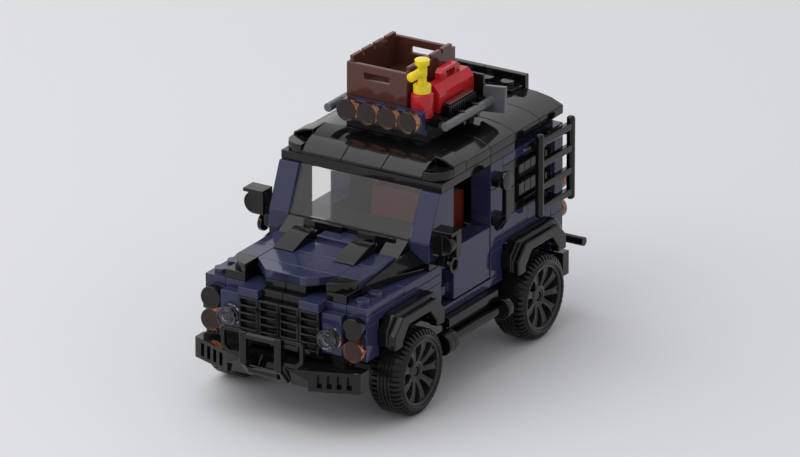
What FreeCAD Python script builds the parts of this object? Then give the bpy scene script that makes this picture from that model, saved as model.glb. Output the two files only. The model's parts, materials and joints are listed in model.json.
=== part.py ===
import FreeCAD, Part
import os

import Sketcher

os.makedirs("parts", exist_ok=True)
doc = FreeCAD.newDocument("BrickOffRoader")

# The driving sizes, in millimetres. X points forward, Y to the left, Z up from the floor.
sizes = {
    "pitch": 8,             # one stud along or across
    "plate": 3.2,           # one plate of height, a third of a brick
    "play": 0.05,           # what each brick is smaller than its cell, on each face
    "stud_radius": 2.4,
    "stud_height": 1.7,
    "bar_radius": 1.6,      # every round bar of the system
    "clip_radius": 2.6,
    "tile_radius": 3.95,    # round tiles, lamps and round bricks
    "tyre_radius": 15.2,
    "tyre_width": 14,
    "tyre_bead_radius": 12.3,
    "tyre_shoulder": 1.6,
    "tyre_clearance": 2,    # between each tyre and the body
    "arch_gap": 0.8,        # between a tyre and both ends of its arch
    "flare_gap": 4.8,       # how much further than the tyre the flares' outlines are drawn
    "rim_wall": 1.1,
    "rim_inset": 0.6,       # how far the rim's edge stands inside the tyre's wall
    "spoke_width": 1.5,
    "spoke_depth": 3.0,
    "hub_radius": 3.1,
    "hub_depth": 6.0,
    "pin_radius": 1.6,
    "running_gap": 0.08,    # between a pin and what turns on it
    "wheelbase": 80,
    "board_gap": 8.8,       # between a tyre and the running board
    "step_front_gap": 2.4,
    "step_front_length": 6.4,
    "step_rear_gap": 5.6,
    "step_rear_length": 3.2,
    "door_gap": 0.5,        # behind the door, and round its foot
    "wall": 1.6,            # crate, seats and other thin walls
    "slot_width": 1.8,
    "slot_pitch": 3.4,
    "slot_depth": 2.2,
    "slot_border": 1.3,
    "slat_height": 0.8,
    "slat_pitch": 2.75,
    "grille_border": 1.0,
    "grille_depth": 2.2,
    "bull_standoff": 16.4,  # how far the bull bar's front face stands before the body
    "bull_post": 2.8,
    "bull_hoop": 1.5,       # thickness of its outer hoops
    "bull_rail": 2.5,
    "bull_foot": 22.4,
    "bull_top": 34.4,
    "bull_post_row": 6.9,
    "bull_hoop_row": 15.5,
    "ladder_width": 20.8,
    "ladder_row": 36,
    "ladder_foot": 43.6,
    "ladder_length": 30.4,
    "rung": 2.5,
    "mirror_plate": 3.2,
    "plank_gap": 1.2,
    "plank_rise": 1.6,      # how far the crate's planks stand above its ends
    "blade": 1.5,
    "valve_radius": 3.1,
    "cap_radius": 2.6,
    "tool_head": 2.4,
}
sheet = doc.addObject("Spreadsheet::Sheet", "Sizes")
for row, (alias, value) in enumerate(sizes.items(), start=1):
    sheet.set(f"A{row}", alias)
    sheet.set(f"B{row}", str(value))
    sheet.setAlias(f"B{row}", alias)
doc.recompute()


def size(alias):
    """The expression that reads one driving size."""
    return f"Sizes.{alias}"


def studs(share):
    """The expression for a place on the grid of studs."""
    return f"({share} * {size('pitch')})"


def plates(share):
    """The expression for a height counted in plates."""
    return f"({share} * {size('plate')})"


def bind(thing, **bindings):
    """Bind properties to expressions; a double underscore stands for a dot."""
    for path, expression in bindings.items():
        thing.setExpression(path.replace("__", "."), expression)
    return thing


def at(thing, x="0", y="0", z="0"):
    """Place a piece by three expressions."""
    return bind(thing, Placement__Base__x=f"1 mm * ({x})",
                Placement__Base__y=f"1 mm * ({y})",
                Placement__Base__z=f"1 mm * ({z})")


def block(name, x, y, z):
    """A box between two places on each axis."""
    box = doc.addObject("Part::Box", name)
    bind(box, Length=f"({x[1]}) - ({x[0]})", Width=f"({y[1]}) - ({y[0]})", Height=f"({z[1]}) - ({z[0]})")
    return at(box, x[0], y[0], z[0])


def shy(low, high):
    """Two ends of a cell, each drawn in by the play between bricks."""
    return f"{low} + {size('play')}", f"{high} - {size('play')}"


def brick(name, cell_shares):
    """One brick that fills a cell: two studs shares for X, two for Y, two plates shares for Z."""
    x0, x1, y0, y1, z0, z1 = cell_shares
    return block(name, shy(studs(x0), studs(x1)), shy(studs(y0), studs(y1)),
                 shy(plates(z0), plates(z1)))


TURNS = {"X": FreeCAD.Rotation(FreeCAD.Vector(0, 1, 0), 90),
         "Y": FreeCAD.Rotation(FreeCAD.Vector(1, 0, 0), -90),
         "Z": FreeCAD.Rotation()}


def along(bar, axis, start, x, y, z):
    """Lay a bar along an axis, from its start on that axis and two places across it."""
    bar.Placement = FreeCAD.Placement(FreeCAD.Vector(), TURNS[axis])
    place = {"X": x, "Y": y, "Z": z}
    place[axis] = start
    return at(bar, place["X"], place["Y"], place["Z"])


def rod(name, axis, radius, start, length, x="0", y="0", z="0"):
    """A truly round bar along one axis, starting at a place on that axis."""
    bar = doc.addObject("Part::Cylinder", name)
    bind(bar, Radius=radius, Height=length)
    return along(bar, axis, start, x, y, z)


BAR_FACE_COUNT = 12
TILE_FACE_COUNT = 24
WHEEL_FACE_COUNT = 36


def many_sided(name, axis, faces, radius, start, length, x="0", y="0", z="0"):
    """A bar of many flat faces, for a round piece that nothing turns or clips on."""
    bar = doc.addObject("Part::Prism", name)
    bar.Polygon = faces
    bind(bar, Circumradius=radius, Height=length)
    return along(bar, axis, start, x, y, z)


def disc(name, axis, start, length, x="0", y="0", z="0"):
    """A round tile, lamp or round brick, many-sided."""
    return many_sided(name, axis, TILE_FACE_COUNT, size("tile_radius"), start, length, x, y, z)


def thin_bar(name, axis, start, length, x="0", y="0", z="0"):
    """A plain bar of the system, many-sided."""
    return many_sided(name, axis, BAR_FACE_COUNT, size("bar_radius"), start, length, x, y, z)


def outline_sketch(body, name, role, outline):
    """A closed outline on one of the body's planes, each corner held by two bound lengths."""
    sketch = body.newObject("Sketcher::SketchObject", name)
    plane = next(item for item in body.Origin.OriginFeatures if item.Role == role)
    sketch.AttachmentSupport = (plane, [""])
    sketch.MapMode = "FlatFace"
    count = len(outline)
    turns = [FreeCAD.Rotation(FreeCAD.Vector(0, 0, 1), 360 * i / count) for i in range(count)]
    corners = [turn.multVec(FreeCAD.Vector(1, 0, 0)) for turn in turns]
    for i in range(count):
        sketch.addGeometry(Part.LineSegment(corners[i], corners[(i + 1) % count]), False)
    for i in range(count):
        sketch.addConstraint(Sketcher.Constraint("Coincident", i, 2, (i + 1) % count, 1))
    for i, (a, b) in enumerate(outline):
        for kind, expression, value in (("DistanceX", a, corners[i].x), ("DistanceY", b, corners[i].y)):
            index = sketch.addConstraint(Sketcher.Constraint(kind, i, 1, value))
            sketch.setExpression(f"Constraints[{index}]", expression)
    return sketch


PLANES = {"XZ": ("XZ_Plane", studs, plates, studs), "YZ": ("YZ_Plane", studs, plates, studs),
          "XY": ("XY_Plane", studs, studs, plates)}


def profile(name, plane, outline, span, x="0"):
    """A closed outline, padded between two places across it."""
    body = doc.addObject("PartDesign::Body", name)
    sketch = outline_sketch(body, f"{name}_outline", PLANES[plane][0], outline)
    pad = body.newObject("PartDesign::Pad", f"{name}_pad")
    pad.Profile = sketch
    low, high = span
    pad.setExpression("Length", f"({high}) - ({low})")
    sketch.Visibility = False
    if plane == "XZ":
        return at(body, x=x, y=high)
    if plane == "YZ":
        return at(body, x=low)
    return at(body, z=low)


def prism(name, plane, outline_shares, span_shares, x="0"):
    """A profile on the grid of studs and plates."""
    _, first, second, across = PLANES[plane]
    outline = [(first(a), second(b)) for a, b in outline_shares]
    return profile(name, plane, outline, shy(across(span_shares[0]), across(span_shares[1])), x)


# The body's middle and the middle of the overall length differ by half of what the nose reaches further
nose_share, tail_share = 8, 9
bull_front = f"({studs(nose_share)} + {size('bull_standoff')})"
fore_shift = f"({bull_front} - {studs(tail_share)}) / 2"

# Everything is drawn on the grid with its axles at one level, then raised until the tyres meet the floor
axle_level_share = 4.75
axle_level = plates(axle_level_share)
floor_rise = f"({size('tyre_radius')} - {axle_level})"
pieces = {}


def keep(name, thing):
    """Hand a finished piece in under its own name, its origin on the floor and mid-length."""
    thing.Label = name
    bound = {path.strip("."): expression for path, expression in thing.ExpressionEngine}
    for path, move in (("Placement.Base.x", f"-({fore_shift})"), ("Placement.Base.z", floor_rise)):
        thing.setExpression(path, f"{bound.get(path, '0 mm')} + 1 mm * ({move})")
    pieces[name] = thing
    return thing


def gather(name, *lots):
    """Like pieces that share a name, as solids that don't touch."""
    things = [thing for lot in lots for thing in lot]
    if len(things) == 1:
        return keep(name, things[0])
    group = doc.addObject("Part::Compound", name)
    group.Links = things
    return keep(name, group)


def fuse(name, things):
    group = doc.addObject("Part::MultiFuse", name)
    group.Shapes = things
    group.Refine = True
    return group


def common(name, first, second):
    both = doc.addObject("Part::Common", name)
    both.Base = first
    both.Tool = second
    return both


def cut(name, base, tool):
    rest = doc.addObject("Part::Cut", name)
    rest.Base = base
    rest.Tool = tool
    return rest


def bricks(name, cells_shares):
    return [brick(f"{name}_{i}", cell) for i, cell in enumerate(cells_shares, start=1)]


def mirrored(cells_shares):
    """The same cells on the other side of the vehicle."""
    return [(x0, x1, -y1, -y0, z0, z1) for x0, x1, y0, y1, z0, z1 in cells_shares]


SIDES = (("left", 1), ("right", -1))


def sided(cells_shares, side):
    return cells_shares if side > 0 else mirrored(cells_shares)


def sided_span(low, high, side):
    return (low, high) if side > 0 else (-high, -low)


def both_sides(cells_shares):
    return list(cells_shares) + mirrored(cells_shares)


def flipped(outline_shares):
    """An outline turned over end for end."""
    return [(-a, b) for a, b in reversed(outline_shares)]


def flipped_across(outline_shares):
    """An outline seen from above, moved to the other side."""
    return [(a, -b) for a, b in reversed(outline_shares)]


def centred(middle, half):
    """Two ends that lie as far to one side of a middle as to the other."""
    return f"{middle} - ({half})", f"{middle} + ({half})"


def mirrored_span(low, high, side):
    """Two places across, on the left or the right."""
    return (low, high) if side > 0 else (f"-({high})", f"-({low})")


def rise(levels_shares):
    """Where an upright piece starts, and how tall it is."""
    low, high = levels_shares
    return plates(low), f"{plates(high)} - {plates(low)}"


def studded(name, spots_shares, level_share):
    """Exposed studs on a level, given by their places in studs."""
    return [rod(f"{name}_stud_{i}", "Z", size("stud_radius"), f"{plates(level_share)} - {size('play')}",
                size("stud_height"), x=studs(x), y=studs(y))
            for i, (x, y) in enumerate(spots_shares, start=1)]


# Chassis: a keel of plates under the floor, as wide as the wheels leave room for
keel_half_share = 3
keel_half = studs(keel_half_share)
half_track = f"({keel_half} + {size('tyre_clearance')} + {size('tyre_width')} / 2)"
keel_plates_shares = [(-8, 8, 7, 8), (-7, 7, 8, 9)]
spine_shares = [(-7, 7, -2, 2, 6, 7)]
keel = [block(f"keel_{i}", shy(studs(x0), studs(x1)), shy(f"-{keel_half}", keel_half),
              shy(plates(z0), plates(z1)))
              for i, (x0, x1, z0, z1) in enumerate(keel_plates_shares, start=1)]
gather("chassis", keel, bricks("spine", spine_shares))

# Side steps: a bar between round pieces, hung under each running board, between the tyres
free_half = f"({size('wheelbase')} / 2 - {size('tyre_radius')})"
board_reach_share, step_row_share = 4.4, 4.45
board_levels_shares = (7, 8)
apron_rows_shares, apron_levels_shares = (4, 4.25), (5, 7.1)
step_level = f"({plates(board_levels_shares[0])} - {size('play')} - {size('tile_radius')})"
board_span = centred("0", f"{free_half} - {size('board_gap')}")
step_front = f"({free_half} - {size('step_front_gap')})"
step_rear = f"({size('step_rear_gap')} - {free_half})"
steps = []
for label, side in SIDES:
    row = studs(side * step_row_share)
    steps.append(fuse(f"board_{label}", [
        block(f"board_{label}_plate", board_span,
              shy(*mirrored_span(keel_half, studs(board_reach_share), side)),
              shy(*map(plates, board_levels_shares))),
        block(f"board_{label}_apron", board_span, shy(*map(studs, sided_span(*apron_rows_shares, side))),
              shy(*map(plates, apron_levels_shares)))]))
    steps.append(fuse(f"step_{label}", [
        thin_bar(f"step_{label}_bar", "X", f"{step_rear} + {size('bar_radius')}",
                 f"{step_front} - {size('step_front_length')} / 2 - {step_rear} - {size('bar_radius')}",
                 y=row, z=step_level),
        disc(f"step_{label}_front", "X", f"{step_front} - {size('step_front_length')}",
             size("step_front_length"), y=row, z=step_level),
        disc(f"step_{label}_rear", "X", step_rear, size("step_rear_length"), y=row, z=step_level),
    ]))
gather("side_steps", steps)

# Axles: a brick under the keel with a pin through it, which the wheels turn on
axle_half_share = 1
hanger_rows_shares, hanger_levels_shares = (-2, 2), (3, 6)
pin_reach = f"({half_track} + {size('tyre_width')} / 2 - {size('rim_inset')})"
axles = []
for label, end in (("front", 1), ("rear", -1)):
    middle = f"({end} * {size('wheelbase')} / 2)"
    hanger = block(f"axle_{label}_brick", centred(middle, f"{studs(axle_half_share)} - {size('play')}"),
                   shy(*map(studs, hanger_rows_shares)), shy(*map(plates, hanger_levels_shares)))
    pin = rod(f"axle_{label}_pin", "Y", size("pin_radius"), f"-{pin_reach}", f"2 * {pin_reach}",
              x=middle, z=axle_level)
    axles.append(fuse(f"axle_{label}", [hanger, pin]))
gather("axles", axles)

# Wheels: a rim with nine spokes, and the tyre on it
half_tyre = f"({size('tyre_width')} / 2)"
bead = size("tyre_bead_radius")
rim_radius = f"({bead} - {size('play')})"
rim_edge = f"({half_tyre} - {size('rim_inset')})"
SPOKE_COUNT = 9
FIRST_SPOKE_DEGREES = 177.5


def hoop(name, radius, half_width):
    """A many-sided disc round the wheel's axis, as wide to one side as to the other."""
    return many_sided(name, "Y", WHEEL_FACE_COUNT, radius, f"-({half_width})", f"2 * ({half_width})")


def spoke(name, degrees, start):
    """One bar of the wheel's face from the axis out into the rim."""
    bar = doc.addObject("Part::Box", name)
    bind(bar, Length=f"{rim_radius} - {size('rim_wall')} / 2", Width=size("spoke_depth"),
         Height=size("spoke_width"))
    turn = FreeCAD.Rotation(FreeCAD.Vector(0, 1, 0), degrees)
    bar.Placement = FreeCAD.Placement(FreeCAD.Vector(), turn)
    lift = turn.multVec(FreeCAD.Vector(0, 0, 1))
    return at(bar, f"-{size('spoke_width')} / 2 * ({lift.x:.9f})", start,
              f"-{size('spoke_width')} / 2 * ({lift.z:.9f})")


def wheel(label, end, side):
    x = f"{end} * {size('wheelbase')} / 2"
    y = f"{side} * {half_track}"
    walls = hoop(f"tyre_{label}_walls", f"{size('tyre_radius')} - {size('tyre_shoulder')}", half_tyre)
    tread = hoop(f"tyre_{label}_tread", size("tyre_radius"), f"{half_tyre} - {size('tyre_shoulder')}")
    seat = hoop(f"tyre_{label}_seat", bead, size("tyre_width"))
    keep(f"tyre_{label}", at(cut(f"tyre_{label}", fuse(f"tyre_{label}_solid", [walls, tread]), seat),
                             x, y, axle_level))
    barrel = cut(f"rim_{label}_barrel", hoop(f"rim_{label}_outside", rim_radius, rim_edge),
                 hoop(f"rim_{label}_inside", f"{rim_radius} - {size('rim_wall')}", size("tyre_width")))
    hub_start = f"({rim_edge} - {size('hub_depth')})" if side > 0 else f"-{rim_edge}"
    spoke_start = f"({rim_edge} - {size('spoke_depth')})" if side > 0 else f"-{rim_edge}"
    hub = many_sided(f"rim_{label}_hub", "Y", TILE_FACE_COUNT, size("hub_radius"), hub_start,
                     size("hub_depth"))
    spokes = [spoke(f"rim_{label}_spoke_{i}", FIRST_SPOKE_DEGREES + 360 / SPOKE_COUNT * i, spoke_start)
              for i in range(SPOKE_COUNT)]
    whole = fuse(f"rim_{label}_solid", [barrel, hub] + spokes)
    bore = rod(f"rim_{label}_bore", "Y", f"{size('pin_radius')} + {size('running_gap')}",
               f"-{size('tyre_width')}", f"2 * {size('tyre_width')}")
    keep(f"rim_{label}", at(cut(f"rim_{label}", whole, bore), x, y, axle_level))


for end_label, end in (("front", 1), ("rear", -1)):
    for side_label, side in SIDES:
        wheel(f"{end_label}_{side_label}", end, side)

# Sills, and the front wings with studs left open on them
front_axle = f"({size('wheelbase')} / 2)"
arch_half = f"({size('tyre_radius')} + {size('arch_gap')})"
arch_front = f"({front_axle} + {arch_half})"
arch_rear = f"({front_axle} - {arch_half})"
flank_shares = (3, 4)
sill_share = (-3, 2, 8, 9)
wing_root_share = 2
wing_levels_shares = {"foot": 8, "sill": 9, "arch": 12}
wing_layer_shares = [(2, 8, 3, 4, 12, 13)]
wing_top_share = (2, 8, 3, 4, 13, 14)
wing_studs_shares = [(7.5, 3.5), (6.5, 3.5)]
flank_seat = f"({keel_half} + {size('play')})"
sills, wings = [], bricks("wing_layer", both_sides(wing_layer_shares))
for label, side in SIDES:
    flank = shy(*map(studs, sided_span(*flank_shares, side)))
    x0, x1, z0, z1 = sill_share
    sills.append(block(f"sill_{label}", shy(studs(x0), studs(x1)),
                       mirrored_span(flank_seat, f"{studs(flank_shares[1])} - {size('play')}", side),
                       shy(plates(z0), plates(z1))))
    wings.append(block(f"wing_front_{label}", shy(arch_front, studs(nose_share)), flank,
                       shy(plates(wing_levels_shares["foot"]), plates(wing_levels_shares["arch"]))))
    wings.append(block(f"wing_rear_{label}", shy(studs(wing_root_share), arch_rear), flank,
                       shy(plates(wing_levels_shares["sill"]), plates(wing_levels_shares["arch"]))))
    plate = bricks(f"wing_top_{label}", sided([wing_top_share], side))
    wings.append(fuse(f"wing_top_{label}", plate + studded(
        f"wing_{label}", [(x, side * y) for x, y in wing_studs_shares], wing_top_share[-1])))
gather("sills", sills)
gather("fenders", wings)

# Arch flares: an angular hoop round each wheel, on a deeper block behind it, both drawn round the axle
flare_reach = f"({size('tyre_radius')} + {size('flare_gap')})"
hoop_shares = [(-0.8, 0.64), (-0.54, 0.64), (-0.54, 0.744), (-0.34, 0.984), (0.34, 0.984), (0.54, 0.744),
               (0.54, 0.64), (0.8, 0.64), (0.8, 0.904), (0.54, 1.16), (-0.54, 1.16), (-0.8, 0.904)]
back_shares = [(-0.86, 0.712), (-0.64, 0.712), (-0.64, 0.824), (-0.44, 1.032), (0.44, 1.032), (0.64, 0.824),
               (0.64, 0.712), (0.86, 0.712), (0.86, 1), (0.64, 1.224), (-0.64, 1.224), (-0.86, 1)]
hoop_rows_shares, back_rows_shares = (4.35, 4.8), (4, 4.5)


def flare_layer(name, outline_shares, rows_shares, x):
    """One layer of a flare: an outline round the axle, between two rows of studs."""
    outline = [(f"{a} * {flare_reach}", f"{axle_level} + {b} * {flare_reach}") for a, b in outline_shares]
    return profile(name, "XZ", outline, shy(*map(studs, rows_shares)), x)


for end_label, end in (("front", 1), ("rear", -1)):
    middle = f"{end} * {front_axle}"
    flares = []
    for label, side in SIDES:
        flares.append(fuse(f"flare_{end_label}_{label}", [
            flare_layer(f"flare_hoop_{end_label}_{label}", hoop_shares, sided_span(*hoop_rows_shares, side),
                        middle),
            flare_layer(f"flare_back_{end_label}_{label}", back_shares, sided_span(*back_rows_shares, side),
                        middle)]))
    gather(f"flares_{end_label}", flares)

# Doors: a panel that turns on a bar in the recess behind the front wing
door_hinge_share, door_row_share = 1.5, 3.5
door_span_shares, door_levels_shares = (-2, 1), (9, 15)
clip_levels_shares = [(10, 11), (13, 14)]
door_edge = f"({size('bar_radius')} + {size('running_gap')})"
door_foot, door_top = map(plates, door_levels_shares)
posts = []
for label, side in SIDES:
    row = studs(side * door_row_share)
    hinge = studs(door_hinge_share)
    lead = studs(door_span_shares[1])
    parts = [block(f"door_{label}_panel",
                   (f"{studs(door_span_shares[0])} + {size('door_gap')}", f"{lead} - {size('play')}"),
                   shy(*map(studs, sided_span(*flank_shares, side))),
                   (f"{door_foot} + {size('door_gap')}", f"{door_top} - {size('play')}"))]
    for i, levels in enumerate(clip_levels_shares, start=1):
        low, high = map(plates, levels)
        parts.append(many_sided(f"door_{label}_clip_{i}", "Z", BAR_FACE_COUNT, size("clip_radius"), low,
                                f"{high} - {low}", x=hinge, y=row))
        parts.append(block(f"door_{label}_arm_{i}", (f"{lead} - {size('clip_radius')}", hinge),
                           centred(row, size("bar_radius")), (low, high)))
    bore = rod(f"door_{label}_bore", "Z", door_edge, door_foot, f"{door_top} - {door_foot}", x=hinge, y=row)
    keep(f"door_{label}", cut(f"door_{label}", fuse(f"door_{label}_solid", parts), bore))
    posts.append(rod(f"post_{label}", "Z", size("bar_radius"), door_foot, f"{door_top} - {door_foot}",
                     x=hinge, y=row))
gather("hinge_posts", posts)

# Nose: blue panels beside the grille, the grille, and the round lamps
nose_cells_shares = [(7, 8, -3, 3, 8, 13)]
lamp_panel_shares = [(8, 8.4, 2, 3, 8.5, 13)]
nose_tile_shares = [(7, 8.6, 1, 2, 13, 14), (7, 8, 2, 3, 13, 14)]
gather("nose", bricks("nose", nose_cells_shares), bricks("lamp_panel", both_sides(lamp_panel_shares)),
       bricks("nose_tile", both_sides(nose_tile_shares)))

grille_share = (8, 8.6, 8, 13)
GRILLE_UNITS = (-2, -1, 0, 1)
SLOT_COUNT = 5


def grille_unit(i):
    """One unit of the grille: a frame with a row of slats."""
    x0, x1, z0, z1 = grille_share
    frame = brick(f"grille_{i}", (x0, x1, i, i + 1, z0, z1))
    gap = f"({size('slat_pitch')} - {size('slat_height')})"
    slots = []
    for k in range(SLOT_COUNT):
        base = f"{plates(z1)} - {size('grille_border')} - {size('slat_pitch')} * {k} - {gap}"
        slots.append(block(f"grille_{i}_slot_{k}",
                           (f"{studs(x1)} - {size('grille_depth')}",
                            f"{studs(x1)} + {size('grille_depth')}"),
                           (f"{studs(i)} + {size('grille_border')}",
                            f"{studs(i + 1)} - {size('grille_border')}"),
                           (base, f"{base} + {gap}")))
    return cut(f"grille_{i}_cut", frame, fuse(f"grille_{i}_slots", slots))


gather("grille", [grille_unit(i) for i in GRILLE_UNITS])


def round_tiles(name, start, spots):
    """Round tiles that face forward or back, each at a place across and a height."""
    return [disc(f"{name}_{i}", "X", start, f"{size('plate')} - {size('play')}", y=y, z=z)
            for i, (y, z) in enumerate(spots, start=1)]


headlamp_row_share, headlamp_level_share = 2.5, 10.4
marker_row_share, marker_level_share, indicator_level_share = 3.5, 11.75, 9.25
tail_levels_shares = (11.75, 15)
lamp_seat = f"{studs(lamp_panel_shares[0][1])} + {size('play')}"
flank_seat_front = f"{studs(nose_share)} + {size('play')}"
gather("headlamps", round_tiles("headlamp", lamp_seat,
       [(studs(s * headlamp_row_share), plates(headlamp_level_share)) for _, s in SIDES]))
gather("markers", round_tiles("marker", flank_seat_front,
       [(studs(s * marker_row_share), plates(marker_level_share)) for _, s in SIDES]))
gather("indicators",
       round_tiles("indicator", flank_seat_front,
                   [(studs(s * marker_row_share), plates(indicator_level_share)) for _, s in SIDES]),
       round_tiles("tail_lamp", f"-{studs(nose_share)} - {size('plate')}",
                   [(studs(s * marker_row_share), plates(level)) for _, s in SIDES
                    for level in tail_levels_shares]))

# Hood: flat blue panels on a black layer, curved black corners, two scoops, and a wedge down each side
corner_outline_shares = [(7, 2), (8, 2), (7.9, 2.35), (7.6, 2.75), (7.3, 2.95), (7, 3)]
corner_span_shares = (15, 16)
hood_rail_shares = [(3, 8, 2, 3, 14, 15)]
hood_layer_shares = [(3, 7, -2, 2, 14, 15), (7, 8, -1, 0, 14, 15), (7, 8, 0, 1, 14, 15),
                     (7, 8.3, -1, 1, 13, 14)]
wedge_section_shares = [(3, 14), (4, 14), (4, 14.2), (3, 15)]
wedge_outline_shares = [(3, 3), (6.6, 3), (5.6, 3.12), (3, 3.8)]
wedge_span_shares, wedge_levels_shares = (3, 8), (14, 15)
wedges = [common(f"hood_wedge_{label}",
                 prism(f"hood_wedge_section_{label}", "YZ",
                       wedge_section_shares if side > 0 else flipped(wedge_section_shares),
                       wedge_span_shares),
                 prism(f"hood_wedge_outline_{label}", "XY",
                       wedge_outline_shares if side > 0 else flipped_across(wedge_outline_shares),
                       wedge_levels_shares)) for label, side in SIDES]
gather("hood_base", bricks("hood_rail", both_sides(hood_rail_shares)),
       bricks("hood_layer", hood_layer_shares),
       [prism("hood_corner_left", "XY", corner_outline_shares, corner_span_shares),
        prism("hood_corner_right", "XY", flipped_across(corner_outline_shares), corner_span_shares)],
        wedges)
hood_parts_shares = [(4, 7, -3, -2, 15, 16), (4, 7, -2, 2, 15, 16), (4, 7, 2, 3, 15, 16),
                     (3, 4, -1, 1, 15, 16.4)]
tip_outline_shares = [(7, 0), (8, 0), (8, 1), (7, 2)]
gather("hood", bricks("hood_part", hood_parts_shares),
       [prism("hood_tip_left", "XY", tip_outline_shares, corner_span_shares),
        prism("hood_tip_right", "XY", flipped_across(tip_outline_shares), corner_span_shares)])
scoop_shares = [(4.05, 16.02), (5.8, 16.02), (5.8, 16.15), (4.7, 17), (4.3, 17.15), (4.05, 17.15)]
scoop_rows_shares = (1, 2)
gather("scoops", [prism(f"scoop_{label}", "XZ", scoop_shares, sided_span(*scoop_rows_shares, side))
                  for label, side in SIDES])

# Windscreen: the pillars, the cowl at its foot with a sloping flap at each end, and the smoked screen
pillar_foot_shares = [(2, 3, 3, 4, 15, 17)]
pillar_shares = [(1, 17), (3, 17), (2.15, 22), (1, 22)]
gather("pillars", bricks("pillar_base", both_sides(pillar_foot_shares)),
       [prism(f"pillar_{label}", "XZ", pillar_shares, sided_span(*flank_shares, side))
        for label, side in SIDES])
cowl_sides_shares = [(2, 3, 3, 4, 14, 15), (1, 2, 3, 4, 15, 17)]
cowl_shares = [(2, 3, -3, 3, 14, 17)]
flap_shares = [(3.01, 15.02), (3.99, 15.02), (3.99, 15.6), (3.01, 17)]
flap_rows_shares = (2, 3)
gather("cowl", bricks("cowl_side", both_sides(cowl_sides_shares)), bricks("cowl", cowl_shares),
       [prism(f"cowl_flap_{label}", "XZ", flap_shares, sided_span(*flap_rows_shares, side))
        for label, side in SIDES])
glass_shares = [(2.78, 17.02), (2.98, 17.02), (2.02, 21.98), (1.82, 21.98)]
glass_rows_shares = (-3, 3)
gather("windscreen", [prism("screen", "XZ", glass_shares, glass_rows_shares)])
wiper_spots_shares = [(3.7, -1.3), (3.7, 1.7)]
wiper_levels_shares = (15, 16.6)
gather("wipers", [thin_bar(f"wiper_{i}", "Z", *rise(wiper_levels_shares), x=studs(x), y=studs(row))
                  for i, (x, row) in enumerate(wiper_spots_shares, start=1)])

# Rear body: posts beside the arch, sides with a framed window in each, and the rear wall
body_levels_shares = {"foot": 8, "sill": 9, "arch": 12}
rear_root_share = 2
rear_side_shares = [(-3, -2, 3, 4, 12, 22), (-7, -3, 3, 4, 12, 15), (-8, -7, 3, 4, 12, 22),
                    (-7, -3, 3, 4, 21, 22)]
side_frame_shares = [(-4, -3, 3, 4, 15, 21), (-7, -6.5, 3, 4, 15, 21), (-6.5, -4, 3, 4, 15, 16),
                     (-6.5, -4, 3, 4, 20, 21)]
rear_frame_shares = [(-8, -7, -2, -1.6, 15, 21), (-8, -7, 1.6, 2, 15, 21), (-8, -7, -1.6, 1.6, 15, 15.6),
                     (-8, -7, -1.6, 1.6, 20.4, 21)]
rear_wall_shares = [(-8, -7, -3, 3, 9, 15), (-8, -7, -3, -2, 15, 22), (-8, -7, 2, 3, 15, 22),
                    (-8, -7, -2, 2, 21, 22)]
rear_posts = []
for label, side in SIDES:
    flank = shy(*map(studs, sided_span(*flank_shares, side)))
    rear_posts.append(block(f"rear_post_{label}", shy(f"-{studs(nose_share)}", f"-{arch_front}"), flank,
                            shy(plates(body_levels_shares["foot"]), plates(body_levels_shares["arch"]))))
    rear_posts.append(block(f"middle_post_{label}", shy(f"-{arch_rear}", f"-{studs(rear_root_share)}"),
                            flank,
                            shy(plates(body_levels_shares["sill"]), plates(body_levels_shares["arch"]))))
gather("rear_sides", bricks("rear_side", both_sides(rear_side_shares)), rear_posts)
gather("rear_wall", bricks("rear_wall", rear_wall_shares))
gather("rear_windows", bricks("side_frame", both_sides(side_frame_shares)),
       bricks("rear_frame", rear_frame_shares))

# Roof: a lip over the screen, curved slopes at its front and sides, low round corners, a flat middle
roof_base_shares = [(-4, 2, -4, 4, 22, 23), (-8, -4, -3.5, 3.5, 22, 23)]
gather("roof_base", bricks("roof_base", roof_base_shares))
roof_front_shares = [(0, 23), (2, 23), (2, 23.4), (1.4, 24.3), (0.7, 24.85), (0, 25)]
roof_front_cells_shares = [(-3, -1), (-1, 1), (1, 3)]
roof_corner_shares = [(1, 3), (2, 3), (1.97, 3.4), (1.8, 3.75), (1.45, 3.95), (1, 4)]
roof_corner_levels_shares = (23, 24)
gather("roof_front",
       [prism(f"roof_front_{i}", "XZ", roof_front_shares, span)
        for i, span in enumerate(roof_front_cells_shares, start=1)],
       [prism("roof_corner_left", "XY", roof_corner_shares, roof_corner_levels_shares),
        prism("roof_corner_right", "XY", flipped_across(roof_corner_shares), roof_corner_levels_shares)])
roof_side_shares = [(2, 23), (4, 23), (4, 24), (3.4, 24.6), (2.7, 24.9), (2, 25)]
roof_cells_shares = [(-8, -6), (-6, -4), (-4, -2), (-2, 0)]
shoulder_shares = [(3, 23), (4, 23), (4, 24.2), (3.5, 24.8), (3, 25)]
shoulder_span_shares = (0, 1)
shoulder_hollow_shares = [(3.1, 23.5), (3.85, 23.5), (3.85, 24.05), (3.45, 24.5), (3.1, 24.7)]
hollow_span_shares = (0.5, 1.1)


def sided_outline(outline_shares, side):
    """An outline seen along X, on the left or the right."""
    return outline_shares if side > 0 else flipped(outline_shares)


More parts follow.
